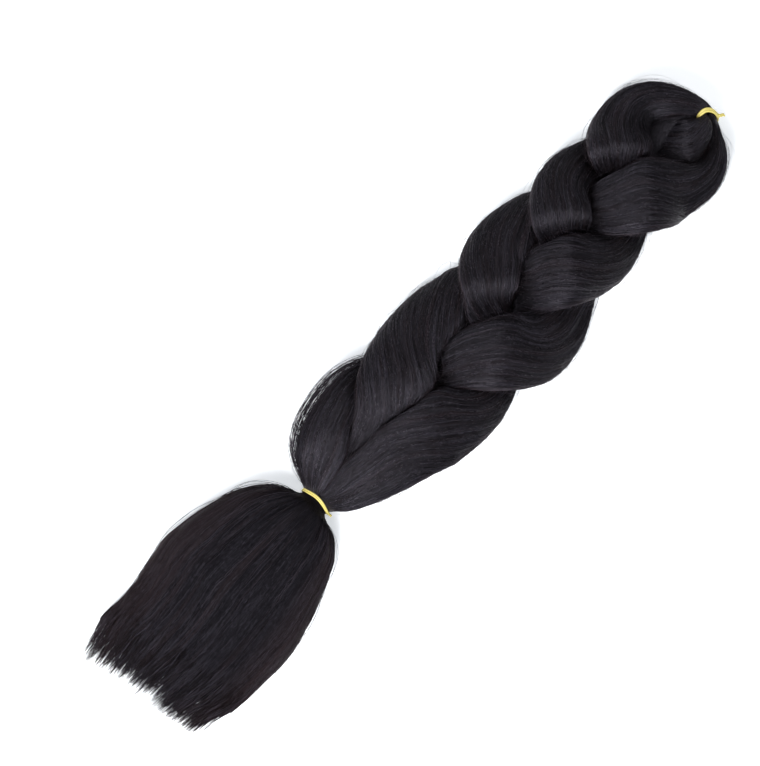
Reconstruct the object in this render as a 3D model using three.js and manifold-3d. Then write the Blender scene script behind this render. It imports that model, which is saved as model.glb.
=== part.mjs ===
// A jumbo plait of synthetic braiding hair, lying flat as it is sold. One long bundle is gathered
// by a small elastic band, folded there into an open loop, plaited from three thick strands, tied
// with a second elastic band and left loose as a cut tail.
//
// Millimetres, +Z up. +X runs along the plait from the cut tail to the folded head. While it is
// being modelled, X is 0 at the tail band; the finished group is centred over its own footprint.
import * as THREE from "three";
import { mergeVertices } from "three/addons/utils/BufferGeometryUtils.js";
import Module from "manifold-3d";

const wasm = await Module();
wasm.setup();

// Overall sizes
const PLAIT_LENGTH = 405; // tail band to the far rim of the folded head
const PLAIT_WIDTH = 112; // across the lobes of the strands
const PLAIT_HEIGHT = 50; // thickness of the plait as it lies
const TAIL_LENGTH = 195; // tail band to the longest cut ends
const TAIL_WIDTH = 128;
const TAIL_HEIGHT = 35;

// Strands
const STRAND_WIDTH = 58; // a strand where it lies flat across the plait
const CROSSING_THICKNESS = 29; // the same strand's thickness there
const TURN_THICKNESS = 42; // its thickness where it turns at a side
const CROSSING_LIFT = 11.5; // how far a crossing rises above, or sinks below, the middle
const CROSSING_HASTE = 0.6; // a strand crosses the middle sooner after one side than before the next
const CROSSING_ROLL = 22; // degrees that a strand leans as it dives under the next one
const CROSSING_SPREAD = 0.6; // how far a pressed crossing takes up the full strand width
const PRESS = 2.4; // exponent of the section's superellipse: 2 is an ellipse
const FLUTE_DEPTH = 0.03; // lengthwise locks on a strand, as a share of its radius
const STRAND_SIDES = 20;
const LEAST_RADIUS = 0.2; // what is left of a side that a neighbour presses right in
const FINENESS = 0.18; // facets that matter less than this are merged
const EASE_PASSES = 4;
const BESIDE_EASE = 1.25; // how much longer one side of a section may be than the next
const BESIDE_STEP = 0.5; // and this much more, so that short sides can grow
const ALONG_EASE = 0.8; // how steeply a strand may swell along its length
const STATION_STEP = 9; // spacing of the sections along a strand

// Gathered necks under the two elastic bands
const NECK_WIDTH = 23;
const NECK_THICKNESS = 18;
const NECK_HEIGHT = 16; // middle of the tail neck above the surface
const NECK_ACROSS = 1;
const NECK_FLARE = 1.9; // how fast the gathered hair widens away from the band
const NECK_LEAN = 3; // how far the band's top leans back along the hair
const HEAD_NECK = 12.5; // diameter of the bundle under the head band
const HEAD_NECK_ALONG = 0.9827; // where the head band sits, as a share of the plait's length
const HEAD_NECK_ACROSS = -0.186; // and as a share of its half width
const HEAD_NECK_HEIGHT = 19;
const HEAD_NECK_HEADING = 52; // degrees from +X: the way the bundle runs through the head band
const HEAD_FLARE = 1.1;
const HEAD_LEAN = 5;
const LEAN_REACH = 15; // the lean dies away over this distance from a band
const LEAN_LIMIT = 1.3; // hair further up or down than this many half thicknesses leans no more
const GATHER_REACH = 16; // length over which a section turns to face its band

// Elastic bands
const ELASTIC = 2.4; // thickness of the rubber
const BAND_EDGE = ELASTIC * 0.7; // from a band's middle to where the hair leaves it
const BAND_SIDES = 9;
const BAND_STEPS = 22;
const KNOT = { length: 4, width: 2.8, thickness: 2.4, reach: 1.2 }; // the little twisted end
const KNOT_TURN = 0.93 * Math.PI; // where round the band it sits
const KNOT_SIDES = 8;
const KNOT_RINGS = 5;

// Clearances
const GAP = 1.6; // between neighbouring strands
const TRIM = 0.8; // the least gap where their faceted skins would touch
const BAND_GAP = 0.3; // between a band and the hair in it
const MEETING_GAP = 0.7; // between hair pieces that end inside a band

// Tail
const TAIL_SIDES = 30;
const TAIL_FLUTE_DEPTH = 0.035;
const TAIL_SLANT = 0.055; // the cut is longer on the +Y side
const TAIL_BODY = 0.89; // share of the tail's length that is one body before the loose locks
const TAIL_REACH = 0.7; // where across the tail its longest cut ends are
const LOCK_COLUMNS = 10;
const LOCK_SIDES = 6;
const LOCK_ROOT = 0.05; // how far inside the body a lock begins, as a share of the tail's length
const LOCK_WIDTH = 0.68; // half width of a lock, as a share of the space for one
const LOCK_THICKNESS = 0.3; // half thickness of a lock, as a share of the body's height there
const LOCK_LAYERS = [
  { inset: 0.3, height: 0.28, reach: 0.975 },
  { inset: 0.7, height: 0.72, reach: 0.955 },
];
const LOCK_RAGGEDNESS = 0.025; // how much longer or shorter a lock may be
const LOCK_SWAY = 0.25; // how far a lock's tip swings aside, as a share of the space for one
const LOCK_TAPER = [
  { share: 0, size: 1 },
  { share: 0.45, size: 0.95 },
  { share: 0.78, size: 0.68 },
  { share: 0.94, size: 0.36 },
  { share: 1, size: 0.12 },
];

const HALF_WIDTH = PLAIT_WIDTH / 2;
const HALF_STRAND = STRAND_WIDTH / 2;
const HALF_TAIL = TAIL_WIDTH / 2;
const MIDDLE = 0.43; // height of the plait's middle, as a share of its thickness
const RADIANS = Math.PI / 180;

const HAIR_COLOUR = 0x1c191b;
const RUBBER_COLOUR = 0xb3a65e;

const lerp = THREE.MathUtils.lerp;
const smooth = (v) => THREE.MathUtils.smoothstep(v, 0, 1);

// The two necks: where a band sits, the way the hair runs, and the half sizes of its oval.
const TAIL_NECK = {
  centre: new THREE.Vector3(0, NECK_ACROSS, NECK_HEIGHT),
  heading: new THREE.Vector2(-1, 0),
  wide: NECK_WIDTH / 2,
  thick: NECK_THICKNESS / 2,
  flare: NECK_FLARE,
  lean: NECK_LEAN,
};
const HEAD_BUNDLE = {
  centre: new THREE.Vector3(HEAD_NECK_ALONG * PLAIT_LENGTH, HEAD_NECK_ACROSS * HALF_WIDTH, HEAD_NECK_HEIGHT),
  heading: new THREE.Vector2(
    -Math.cos(HEAD_NECK_HEADING * RADIANS),
    -Math.sin(HEAD_NECK_HEADING * RADIANS),
  ),
  wide: HEAD_NECK / 2,
  thick: HEAD_NECK / 2,
  flare: HEAD_FLARE,
  lean: HEAD_LEAN,
};

// Each strand from the folded head to the tail band.
// start, end: rows inside the folded head and towards the tail band. along is a share of the plait
//   length, across of half its width, height of its thickness, wide of half a strand's width and
//   thick of half its turning thickness. lean turns the section, in degrees.
// turns: the places where the strand turns back at a side, with its middle and its half width.
// offset: where the strand sits inside a band, as shares of that neck's half width and thickness.
const STRANDS = {
  strand_a: {
    leads: true,
    headSeat: { across: 0, height: 0, wide: 1, thick: 1 },
    start: [
      { along: 0.984, across: -0.02, height: 0.38, wide: 0.25, thick: 0.38 },
      { along: 0.975, across: 0.14, height: 0.385, wide: 0.32, thick: 0.46 },
      { along: 0.955, across: 0.365, height: 0.39, wide: 0.42, thick: 0.56 },
      { along: 0.928, across: 0.54, height: 0.4, wide: 0.5, thick: 0.66 },
      { along: 0.9, across: 0.61, height: 0.42, wide: 0.54, thick: 0.78 },
    ],
    turns: [
      { along: 0.864, across: 0.54, wide: 0.76 },
      { along: 0.667, across: -0.366, wide: 0.93 },
      { along: 0.341, across: 0.47, wide: 1.0 },
    ],
    end: [
      { along: 0.285, across: 0.4, height: 0.58, wide: 1.02, thick: 0.92 },
      { along: 0.235, across: 0.29, height: 0.6, wide: 1.04, thick: 0.82 },
      { along: 0.18, across: 0.16, height: 0.53, wide: 0.96, thick: 0.72 },
      { along: 0.115, across: 0.03, height: 0.4, wide: 0.7, thick: 0.6 },
      { along: 0.06, across: -0.09, height: 0.26, wide: 0.58, thick: 0.46 },
      { along: 0.025, across: -0.04, height: 0.25, wide: 0.4, thick: 0.34 },
    ],
    tailSeat: { across: 0.0, height: -0.5, wide: 0.85, thick: 0.55 },
  },
  strand_b: {
    leads: false,
    headSeat: { across: -0.4, height: 0, wide: 0.75, thick: 1 },
    start: [
      { along: 0.967, across: -0.36, height: 0.36, wide: 0.29, thick: 0.42 },
      { along: 0.942, across: -0.56, height: 0.36, wide: 0.38, thick: 0.52 },
      { along: 0.906, across: -0.64, height: 0.38, wide: 0.54, thick: 0.68 },
    ],
    turns: [
      { along: 0.854, across: -0.43, wide: 0.98 },
      { along: 0.541, across: 0.47, wide: 0.97 },
      { along: 0.3, across: -0.5, wide: 0.97 },
    ],
    end: [
      { along: 0.245, across: -0.38, height: 0.58, wide: 1.1, thick: 0.86 },
      { along: 0.19, across: -0.28, height: 0.6, wide: 1.06, thick: 0.8 },
      { along: 0.13, across: -0.25, height: 0.56, wide: 0.86, thick: 0.76 },
      { along: 0.075, across: -0.2, height: 0.5, wide: 0.66, thick: 0.64 },
      { along: 0.028, across: -0.13, height: 0.42, wide: 0.42, thick: 0.46 },
    ],
    tailSeat: { across: -0.42, height: 0.3, wide: 0.65, thick: 0.75 },
  },
  strand_c: {
    leads: false,
    headSeat: { across: 0.5, height: 0, wide: 0.6, thick: 1 },
    start: [
      { along: 0.966, across: -0.26, height: 0.42, wide: 0.45, thick: 0.44 },
      { along: 0.944, across: -0.24, height: 0.44, wide: 0.84, thick: 0.5, lean: -14 },
      { along: 0.917, across: -0.14, height: 0.41, wide: 1.0, thick: 0.48, lean: -20 },
      { along: 0.888, across: -0.03, height: 0.32, wide: 1.0, thick: 0.46, lean: -20 },
      { along: 0.854, across: 0.09, height: 0.24, wide: 0.98, thick: 0.48, lean: -10 },
      { along: 0.811, across: 0.26, height: 0.23, wide: 0.9, thick: 0.56 },
      { along: 0.765, across: 0.4, height: 0.3, wide: 0.88, thick: 0.74 },
    ],
    turns: [
      { along: 0.716, across: 0.46, wide: 0.9 },
      { along: 0.473, across: -0.59, wide: 1.0 },
      { along: 0.15, across: 0.64, wide: 0.66 },
    ],
    end: [
      { along: 0.108, across: 0.56, height: 0.5, wide: 0.72, thick: 0.88 },
      { along: 0.071, across: 0.4, height: 0.48, wide: 0.7, thick: 0.78 },
      { along: 0.037, across: 0.25, height: 0.42, wide: 0.48, thick: 0.58 },
      { along: 0.014, across: 0.17, height: 0.39, wide: 0.33, thick: 0.42 },
    ],
    tailSeat: { across: 0.45, height: 0.3, wide: 0.65, thick: 0.75 },
  },
};

// The tail's sections from the band to where the loose locks begin.
// along is a share of the tail length, left and right of half its width, low and high of its height.
// Where low is under the surface, the tail's own weight presses its underside flat there.
const TAIL_ROWS = [
  { along: 0.045, left: 0.42, right: 0.4, low: 0.1, high: 0.86 },
  { along: 0.09, left: 0.6, right: 0.56, low: 0.02, high: 0.95 },
  { along: 0.16, left: 0.75, right: 0.69, low: -0.1, high: 1 },
  { along: 0.24, left: 0.84, right: 0.79, low: -0.14, high: 1 },
  { along: 0.38, left: 0.95, right: 0.93, low: -0.14, high: 0.96 },
  { along: 0.46, left: 0.975, right: 0.98, low: -0.14, high: 0.91 },
  { along: 0.55, left: 0.92, right: 1.0, low: -0.14, high: 0.84 },
  { along: 0.66, left: 0.87, right: 1.02, low: -0.13, high: 0.75 },
  { along: 0.76, left: 0.87, right: 1.03, low: -0.12, high: 0.66 },
  { along: 0.85, left: 0.85, right: 1.0, low: -0.1, high: 0.55 },
  { along: TAIL_BODY, left: 0.8, right: 0.93, low: -0.08, high: 0.42 },
];

// A strand's rows, in millimetres: its middle, half width, half thickness and lean.
function row({ along, across, height, wide, thick, lean = 0 }) {
  return {
    x: along * PLAIT_LENGTH,
    y: across * HALF_WIDTH,
    z: height * PLAIT_HEIGHT,
    wide: wide * HALF_STRAND,
    thick: (thick * TURN_THICKNESS) / 2,
    roll: lean * RADIANS,
  };
}

// The two rows of a strand inside a band: one in the band's middle and one where it leaves the
// band, way being 1 along the neck's heading and -1 against it.
function seatRows(neck, seat, way) {
  const side = new THREE.Vector2(neck.heading.y, -neck.heading.x);
  return [MEETING_GAP / 2, BAND_EDGE].map((away) => ({
    x: neck.centre.x + side.x * seat.across * neck.wide + neck.heading.x * way * away,
    y: neck.centre.y + side.y * seat.across * neck.wide + neck.heading.y * way * away,
    z: neck.centre.z + seat.height * neck.thick,
    wide: seat.wide * neck.wide,
    thick: seat.thick * neck.thick,
    roll: 0,
  }));
}

// The rows of a strand between two of its turns. It leaves the first side over its neighbours,
// is pressed between them in the middle, and reaches the other side underneath.
function crossingRows(from, to) {
  const middle = MIDDLE * PLAIT_HEIGHT;
  return [0, 0.25, 0.5, 0.75].map((share) => {
    const flatness = Math.sin(Math.PI * share);
    const gone = share * (1 - CROSSING_HASTE * (1 - share));
    return {
      x: lerp(from.along, to.along, gone) * PLAIT_LENGTH,
      y: lerp(from.across, to.across, (1 - Math.cos(Math.PI * share)) / 2) * HALF_WIDTH,
      z: middle + CROSSING_LIFT * Math.sin(2 * Math.PI * share),
      wide: lerp(lerp(from.wide, to.wide, share), 1, flatness * CROSSING_SPREAD) * HALF_STRAND,
      thick: lerp(TURN_THICKNESS, CROSSING_THICKNESS, flatness) / 2,
      roll: Math.sign(from.across) * CROSSING_ROLL * RADIANS * flatness,
    };
  });
}

function strandRows(strand) {
  const middle = { height: MIDDLE, thick: 1 };
  const rows = [...seatRows(HEAD_BUNDLE, strand.headSeat, strand.leads ? -1 : 1), ...strand.start.map(row)];
  const { turns } = strand;
  turns.slice(1).forEach((turn, i) => rows.push(...crossingRows(turns[i], turn)));
  rows.push(row({ ...turns[turns.length - 1], ...middle }));
  return [...rows, ...strand.end.map(row), ...seatRows(TAIL_NECK, strand.tailSeat, -1).reverse()];
}

// A cubic through the rows on every column, with each row's slope taken from its neighbours by
// the distance between them.
function sampleRows(rows, step) {
  const keys = Object.keys(rows[0]);
  const spans = rows.slice(1).map((r, i) => Math.hypot(r.x - rows[i].x, r.y - rows[i].y, r.z - rows[i].z));
  const slope = (i, key) => {
    const rise = (j) => (rows[j + 1][key] - rows[j][key]) / spans[j];
    if (i === 0) return rise(0);
    if (i === rows.length - 1) return rise(i - 1);
    return (rise(i - 1) * spans[i] + rise(i) * spans[i - 1]) / (spans[i - 1] + spans[i]);
  };
  const samples = [];
  spans.forEach((span, i) => {
    const perRow = Math.max(1, Math.round(span / step));
    for (let k = 0; k < perRow || (i === spans.length - 1 && k === perRow); k++) {
      const t = k / perRow;
      const sample = {};
      for (const key of keys) {
        const a = rows[i][key];
        const b = rows[i + 1][key];
        const ma = slope(i, key) * span;
        const mb = slope(i + 1, key) * span;
        const fromA = a * (1 + 2 * t) * (1 - t) ** 2 + ma * t * (1 - t) ** 2;
        const fromB = b * t * t * (3 - 2 * t) + mb * t * t * (t - 1);
        sample[key] = fromA + fromB;
      }
      samples.push(sample);
    }
  });
  return samples;
}

// Sections along a strand: upright planes that face along its plan view, and face the band
// squarely near each neck. u is the section's wide axis and v its thick one.
function strandSections(strand) {
  const samples = sampleRows(strandRows(strand), STATION_STEP);
  const last = samples.length - 1;
  const travelled = [0];
  for (let i = 1; i <= last; i++) {
    const step = Math.hypot(samples[i].x - samples[i - 1].x, samples[i].y - samples[i - 1].y);
    travelled.push(travelled[i - 1] + step);
  }
  const headWay = HEAD_BUNDLE.heading.clone().multiplyScalar(strand.leads ? -1 : 1);
  return samples.map((s, i) => {
    const before = samples[Math.max(0, i - 1)];
    const after = samples[Math.min(last, i + 1)];
    const way = new THREE.Vector2(after.x - before.x, after.y - before.y).normalize();
    way.lerp(headWay, 1 - smooth(travelled[i] / GATHER_REACH));
    way.lerp(TAIL_NECK.heading, 1 - smooth((travelled[last] - travelled[i]) / GATHER_REACH)).normalize();
    return {
      centre: new THREE.Vector3(s.x, s.y, s.z),
      way,
      wide: s.wide,
      thick: s.thick,
      u: new THREE.Vector3(way.y * Math.cos(s.roll), -way.x * Math.cos(s.roll), Math.sin(s.roll)),
      v: new THREE.Vector3(-way.y * Math.sin(s.roll), way.x * Math.sin(s.roll), Math.cos(s.roll)),
    };
  });
}

// The distance from a superellipse's middle, which is 1 on its curve.
const squareNorm = (u, v) => (Math.abs(u) ** PRESS + Math.abs(v) ** PRESS) ** (1 / PRESS);

// How deep a point lies in a strand: 0 on its middle line, 1 on its free surface, more outside.
// The point is measured in the section plane that passes through it.
const TOUCH = 1e-4;
function depthIn(sections, point) {
  let least = Infinity;
  let ahead = 0;
  for (let j = 0; j < sections.length; j++) {
    const { centre, way } = sections[j];
    const now = (point.x - centre.x) * way.x + (point.y - centre.y) * way.y;
    if (j > 0 && ahead > -TOUCH && now < TOUCH) {
      const t = THREE.MathUtils.clamp(ahead / (ahead - now), 0, 1);
      const a = sections[j - 1];
      const b = sections[j];
      const dx = point.x - lerp(a.centre.x, b.centre.x, t);
      const dy = point.y - lerp(a.centre.y, b.centre.y, t);
      const dz = point.z - lerp(a.centre.z, b.centre.z, t);
      const u = dx * lerp(a.u.x, b.u.x, t) + dy * lerp(a.u.y, b.u.y, t) + dz * lerp(a.u.z, b.u.z, t);
      const v = dx * lerp(a.v.x, b.v.x, t) + dy * lerp(a.v.y, b.v.y, t) + dz * lerp(a.v.z, b.v.z, t);
      least = Math.min(least, squareNorm(u / lerp(a.wide, b.wide, t), v / lerp(a.thick, b.thick, t)));
    }
    ahead = now;
  }
  return least;
}

// The gathered hair's oval at a distance from a neck, which a ray from a section must not leave.
function gatherLimit(neck, centre, ray) {
  const dx = centre.x - neck.centre.x;
  const dy = centre.y - neck.centre.y;
  if (Math.hypot(dx, dy) > GATHER_REACH) return Infinity;
  const away = Math.abs(dx * neck.heading.x + dy * neck.heading.y);
  const grown = neck.flare * Math.max(0, away - BAND_EDGE);
  const side = { x: neck.heading.y, y: -neck.heading.x };
  const u0 = (dx * side.x + dy * side.y) / (neck.wide + grown);
  const v0 = (centre.z - neck.centre.z) / (neck.thick + grown);
  const u1 = (ray.x * side.x + ray.y * side.y) / (neck.wide + grown);
  const v1 = ray.z / (neck.thick + grown);
  const a = u1 * u1 + v1 * v1;
  const b = u0 * u1 + v0 * v1;
  const c = u0 * u0 + v0 * v0 - 1;
  const root = b * b - a * c;
  return root > 0 ? Math.max(0, (Math.sqrt(root) - b) / a) : 0;
}

// The radius of a strand's skin along a ray: its own superellipse, less where the floor, a band
// or a neighbour presses it. Two strands share the room where they lie equally deep in both.
const SEARCH_STEPS = 24;
function skinRadius(section, ray, free, own, neighbours) {
  let radius = free;
  if (ray.z < 0) radius = Math.min(radius, section.centre.z / -ray.z);
  radius = Math.min(radius, gatherLimit(TAIL_NECK, section.centre, ray));
  radius = Math.min(radius, gatherLimit(HEAD_BUNDLE, section.centre, ray));
  const point = new THREE.Vector3();
  for (const neighbour of neighbours) {
    let before = Infinity;
    for (let k = 1; k <= SEARCH_STEPS; k++) {
      const r = (radius * k) / SEARCH_STEPS;
      point.copy(section.centre).addScaledVector(ray, r);
      const room = depthIn(neighbour, point) - Math.min(r / free, depthIn(own, point));
      if (room <= 0) {
        const share = Number.isFinite(before) ? before / (before - room) : 1;
        radius = Math.max(LEAST_RADIUS, (radius * (k - 1 + share)) / SEARCH_STEPS - GAP / 2);
        break;
      }
      before = room;
    }
  }
  return radius;
}

// The direction of each ray of a section and its free length.
function sectionRays(section) {
  return Array.from({ length: STRAND_SIDES }, (_, k) => {
    const turn = (2 * Math.PI * k) / STRAND_SIDES;
    const ray = section.u
      .clone()
      .multiplyScalar(Math.cos(turn) * section.wide)
      .addScaledVector(section.v, Math.sin(turn) * section.thick);
    const free = ray.length() / squareNorm(Math.cos(turn), Math.sin(turn));
    return { ray: ray.normalize(), free };
  });
}

// Hair bends gently: a pressed place draws in the places beside it.
function easeRadii(radii) {
  for (let pass = 0; pass < EASE_PASSES; pass++) {
    radii.forEach((ring, i) => {
      ring.forEach((radius, k) => {
        const beside = Math.min(ring[(k + 1) % STRAND_SIDES], ring[(k + STRAND_SIDES - 1) % STRAND_SIDES]);
        const along = Math.min(radii[Math.max(0, i - 1)][k], radii[Math.min(radii.length - 1, i + 1)][k]);
        ring[k] = Math.min(radius, beside * BESIDE_EASE + BESIDE_STEP, along + STATION_STEP * ALONG_EASE);
      });
    });
  }
  return radii;
}

function strandRings(own, neighbours) {
  const rays = own.map(sectionRays);
  const pressed = ({ ray, free }, i) => skinRadius(own[i], ray, free, own, neighbours);
  const radii = easeRadii(rays.map((around, i) => around.map((side) => pressed(side, i))));
  const last = own.length - 1;
  return (swell) =>
    own.map(({ centre, way }, i) => {
      const outward = i === 0 ? -swell : i === last ? swell : 0;
      const middle = new THREE.Vector3(centre.x + way.x * outward, centre.y + way.y * outward, centre.z);
      return rays[i].map(({ ray }, k) => {
        const flute = 1 - FLUTE_DEPTH * (k % 2);
        return middle.clone().addScaledVector(ray, radii[i][k] * flute + swell);
      });
    });
}

// A closed skin through rings of points that run the same way round, with a fan at each end.
function skin(rings) {
  const sides = rings[0].length;
  const points = rings.flat();
  const middleOf = (ring) => ring.reduce((sum, p) => sum.add(p), new THREE.Vector3()).divideScalar(sides);
  points.push(middleOf(rings[0]), middleOf(rings[rings.length - 1]));
  const faces = [];
  for (let i = 0; i < rings.length - 1; i++) {
    for (let k = 0; k < sides; k++) {
      const next = (k + 1) % sides;
      const [a, b] = [i * sides + k, i * sides + next];
      faces.push(b, a, a + sides, b, a + sides, b + sides);
    }
  }
  const tail = (rings.length - 1) * sides;
  for (let k = 0; k < sides; k++) {
    const next = (k + 1) % sides;
    faces.push(points.length - 2, k, next, points.length - 1, tail + next, tail + k);
  }
  const geometry = new THREE.BufferGeometry().setFromPoints(points);
  geometry.setIndex(faces);
  return geometry;
}

// Each band leans back at its top, and the hair around it leans with it.
function leanAtNecks(geometry) {
  const position = geometry.getAttribute("position");
  for (const neck of [TAIL_NECK, HEAD_BUNDLE]) {
    for (let i = 0; i < position.count; i++) {
      const [x, y, z] = [position.getX(i), position.getY(i), position.getZ(i)];
      const away = Math.hypot(x - neck.centre.x, y - neck.centre.y) / LEAN_REACH;
      const lift = THREE.MathUtils.clamp((z - neck.centre.z) / neck.thick, -LEAN_LIMIT, LEAN_LIMIT);
      const shift = neck.lean * lift * Math.exp(-away * away);
      position.setXY(i, x - neck.heading.x * shift, y - neck.heading.y * shift);
    }
  }
  return geometry;
}

function toSolid(geometry) {
  const merged = mergeVertices(geometry.clone().deleteAttribute("normal").deleteAttribute("uv"), 1e-4);
  return new wasm.Manifold(
    new wasm.Mesh({
      numProp: 3,
      vertProperties: new Float32Array(merged.getAttribute("position").array),
      triVerts: new Uint32Array(merged.index.array),
    }),
  );
}

function toGeometry(solid) {
  const mesh = solid.getMesh();
  const geometry = new THREE.BufferGeometry();
  geometry.setAttribute("position", new THREE.BufferAttribute(mesh.vertProperties, 3));
  geometry.setIndex(new THREE.BufferAttribute(mesh.triVerts, 1));
  return geometry;
}

// The cut is slanted: how much further along the tail everything lies at this place across it.
const slant = (y) => 1 + (TAIL_SLANT * y) / HALF_TAIL;

// The tail's body: one fluted fan of hair, narrow in the band and flat on the surface.
function tailBody() {
  const neck = TAIL_NECK;
  const rows = [
    ...[MEETING_GAP / 2, BAND_EDGE].map((away) => ({
      x: -away,
      y: neck.centre.y,
      z: neck.centre.z,
      wide: neck.wide,
      thick: neck.thick,
    })),
    ...TAIL_ROWS.map(({ along, left, right, low, high }) => ({
      x: -along * TAIL_LENGTH,
      y: ((left - right) / 2) * HALF_TAIL,
      z: ((low + high) / 2) * TAIL_HEIGHT,
      wide: ((left + right) / 2) * HALF_TAIL,
      thick: ((high - low) / 2) * TAIL_HEIGHT,
    })),
  ];
  return rows.map((r, i) => {
    const press = i < 2 ? 2 : PRESS;
    const ring = [];
    for (let k = 0; k < TAIL_SIDES; k++) {
      const turn = (2 * Math.PI * k) / TAIL_SIDES;
      const flute = i < 2 ? 1 : 1 - TAIL_FLUTE_DEPTH * (k % 2);
      const round = Math.abs(Math.cos(turn)) ** press + Math.abs(Math.sin(turn)) ** press;
      const size = flute * round ** (-1 / press);
      const y = r.y + Math.cos(turn) * r.wide * size;
      const z = r.z + Math.sin(turn) * r.thick * size;
      ring.push(new THREE.Vector3(r.x * slant(y), y, Math.max(0, z)));
    }
    return ring;
  });
}

// A loose lock at the cut end: an oval lock from inside the body to its blunt, ragged tip.
function tailLock({ y, z, wide, thick, from, to, aside }) {
  const rings = LOCK_TAPER.map(({ share, size }) => {
    const ring = [];
    for (let k = 0; k < LOCK_SIDES; k++) {
      const turn = (2 * Math.PI * (k + 0.5)) / LOCK_SIDES;
      const py = y + aside * share ** 2 + Math.cos(turn) * wide * size;
      const pz = lerp(z, thick * size, share ** 2) + Math.sin(turn) * thick * size;
      const px = -lerp(from, to, share) * slant(y);
      ring.push(new THREE.Vector3(px, py, Math.max(0, pz)));
    }
    return ring;
  });
  return toSolid(skin(rings));
}

// Locks side by side across the cut end, in a lower and an upper layer, each with its own reach.
function tailLocks() {
  const end = TAIL_ROWS[TAIL_ROWS.length - 1];
  const pitch = ((end.left + end.right) * HALF_TAIL) / LOCK_COLUMNS;
  const height = end.high * TAIL_HEIGHT;
  const longest = TAIL_LENGTH / slant(TAIL_REACH * HALF_TAIL);
  const locks = [];
  for (let column = 0; column < LOCK_COLUMNS; column++) {
    LOCK_LAYERS.forEach((layer, i) => {
      const ragged = LOCK_RAGGEDNESS * Math.sin(2.4 * column + 1.9 * i);
      locks.push(
        tailLock({
          y: end.left * HALF_TAIL - pitch * (column + layer.inset),
          z: layer.height * height,
          wide: LOCK_WIDTH * pitch,
          thick: LOCK_THICKNESS * height,
          from: (TAIL_BODY - LOCK_ROOT) * TAIL_LENGTH,
          to: longest * (layer.reach + ragged),
          aside: LOCK_SWAY * pitch * Math.sin(3.7 * column + i),
        }),
      );
    });
  }
  return locks;
}

// An elastic band round a neck, with its small twisted end on one side.
function elasticBand(neck) {
  const reach = BAND_GAP + ELASTIC / 2;
  const ring = new THREE.TorusGeometry(neck.wide + reach, ELASTIC / 2, BAND_SIDES, BAND_STEPS);
  const position = ring.getAttribute("position");
  for (let i = 0; i < position.count; i++) {
    const turn = Math.atan2(position.getY(i), position.getX(i));
    position.setY(i, position.getY(i) - Math.sin(turn) * (neck.wide - neck.thick));
  }
  const knot = new THREE.SphereGeometry(1, KNOT_SIDES, KNOT_RINGS)
    .scale(KNOT.length / 2, KNOT.width / 2, KNOT.thickness / 2)
    .translate(KNOT.reach, 0, 0)
    .rotateZ(KNOT_TURN)
    .translate(Math.cos(KNOT_TURN) * (neck.wide + reach), Math.sin(KNOT_TURN) * (neck.thick + reach), 0);
  const side = new THREE.Vector3(neck.heading.y, -neck.heading.x, 0);
  const up = new THREE.Vector3(0, 0, 1);
  const seat = new THREE.Matrix4().makeBasis(side, up, side.clone().cross(up)).setPosition(neck.centre);
  return leanAtNecks(toGeometry(toSolid(ring).add(toSolid(knot)).simplify(FINENESS / 4)).applyMatrix4(seat));
}

const hair = () => new THREE.MeshStandardMaterial({ color: HAIR_COLOUR, roughness: 0.55 });
const rubber = () => new THREE.MeshStandardMaterial({ color: RUBBER_COLOUR, roughness: 0.5 });

const plait = new THREE.Group();

function addMesh(name, geometry, material) {
  const mesh = new THREE.Mesh(geometry, material);
  mesh.name = name;
  plait.add(mesh);
}

// The strands, each pressed to shape by its neighbours. A slightly swollen copy of every strand
// that is already in place trims the next, so that no two of them touch.
const sections = Object.fromEntries(Object.entries(STRANDS).map(([name, s]) => [name, strandSections(s)]));

const placed = [];
for (const name of Object.keys(STRANDS)) {
  const neighbours = Object.keys(sections).filter((other) => other !== name);
  const ringsAt = strandRings(sections[name], neighbours.map((other) => sections[other]));
  const solidAt = (swell) => toSolid(leanAtNecks(skin(ringsAt(swell))));
  const trimmed = placed.reduce((solid, swollen) => solid.subtract(swollen), solidAt(0));
  const [largest] = trimmed.decompose().sort((a, b) => b.volume() - a.volume());
  addMesh(name, toGeometry(largest.simplify(FINENESS)), hair());
  placed.push(solidAt(TRIM));
}

const body = toSolid(skin(tailBody()));
const tail = tailLocks().reduce((sum, lock) => sum.add(lock), body);
addMesh("tail", leanAtNecks(toGeometry(tail)), hair());

addMesh("tail_band", elasticBand(TAIL_NECK), rubber());
addMesh("head_band", elasticBand(HEAD_BUNDLE), rubber());

// The finished plait is centred over its footprint and stands on the surface.
const bounds = new THREE.Box3().setFromObject(plait);
const middle = bounds.getCenter(new THREE.Vector3());
plait.position.set(-middle.x, -middle.y, -bounds.min.z);

export default plait;
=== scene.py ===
# %% [markdown]
# # A plait of synthetic braiding hair
# The real object is a long bundle of off-black synthetic hair, sold folded. A small elastic
# band gathers it at the head, three thick strands are plaited over and under one another, a
# second band closes the plait, and a loose cut tail follows. It lies flat on a pale table.
#
# This lesson dresses a fixed frame: the same object as plain solids. It keeps their places and
# main forms and gives them what solids can't show, which is hair.

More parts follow.
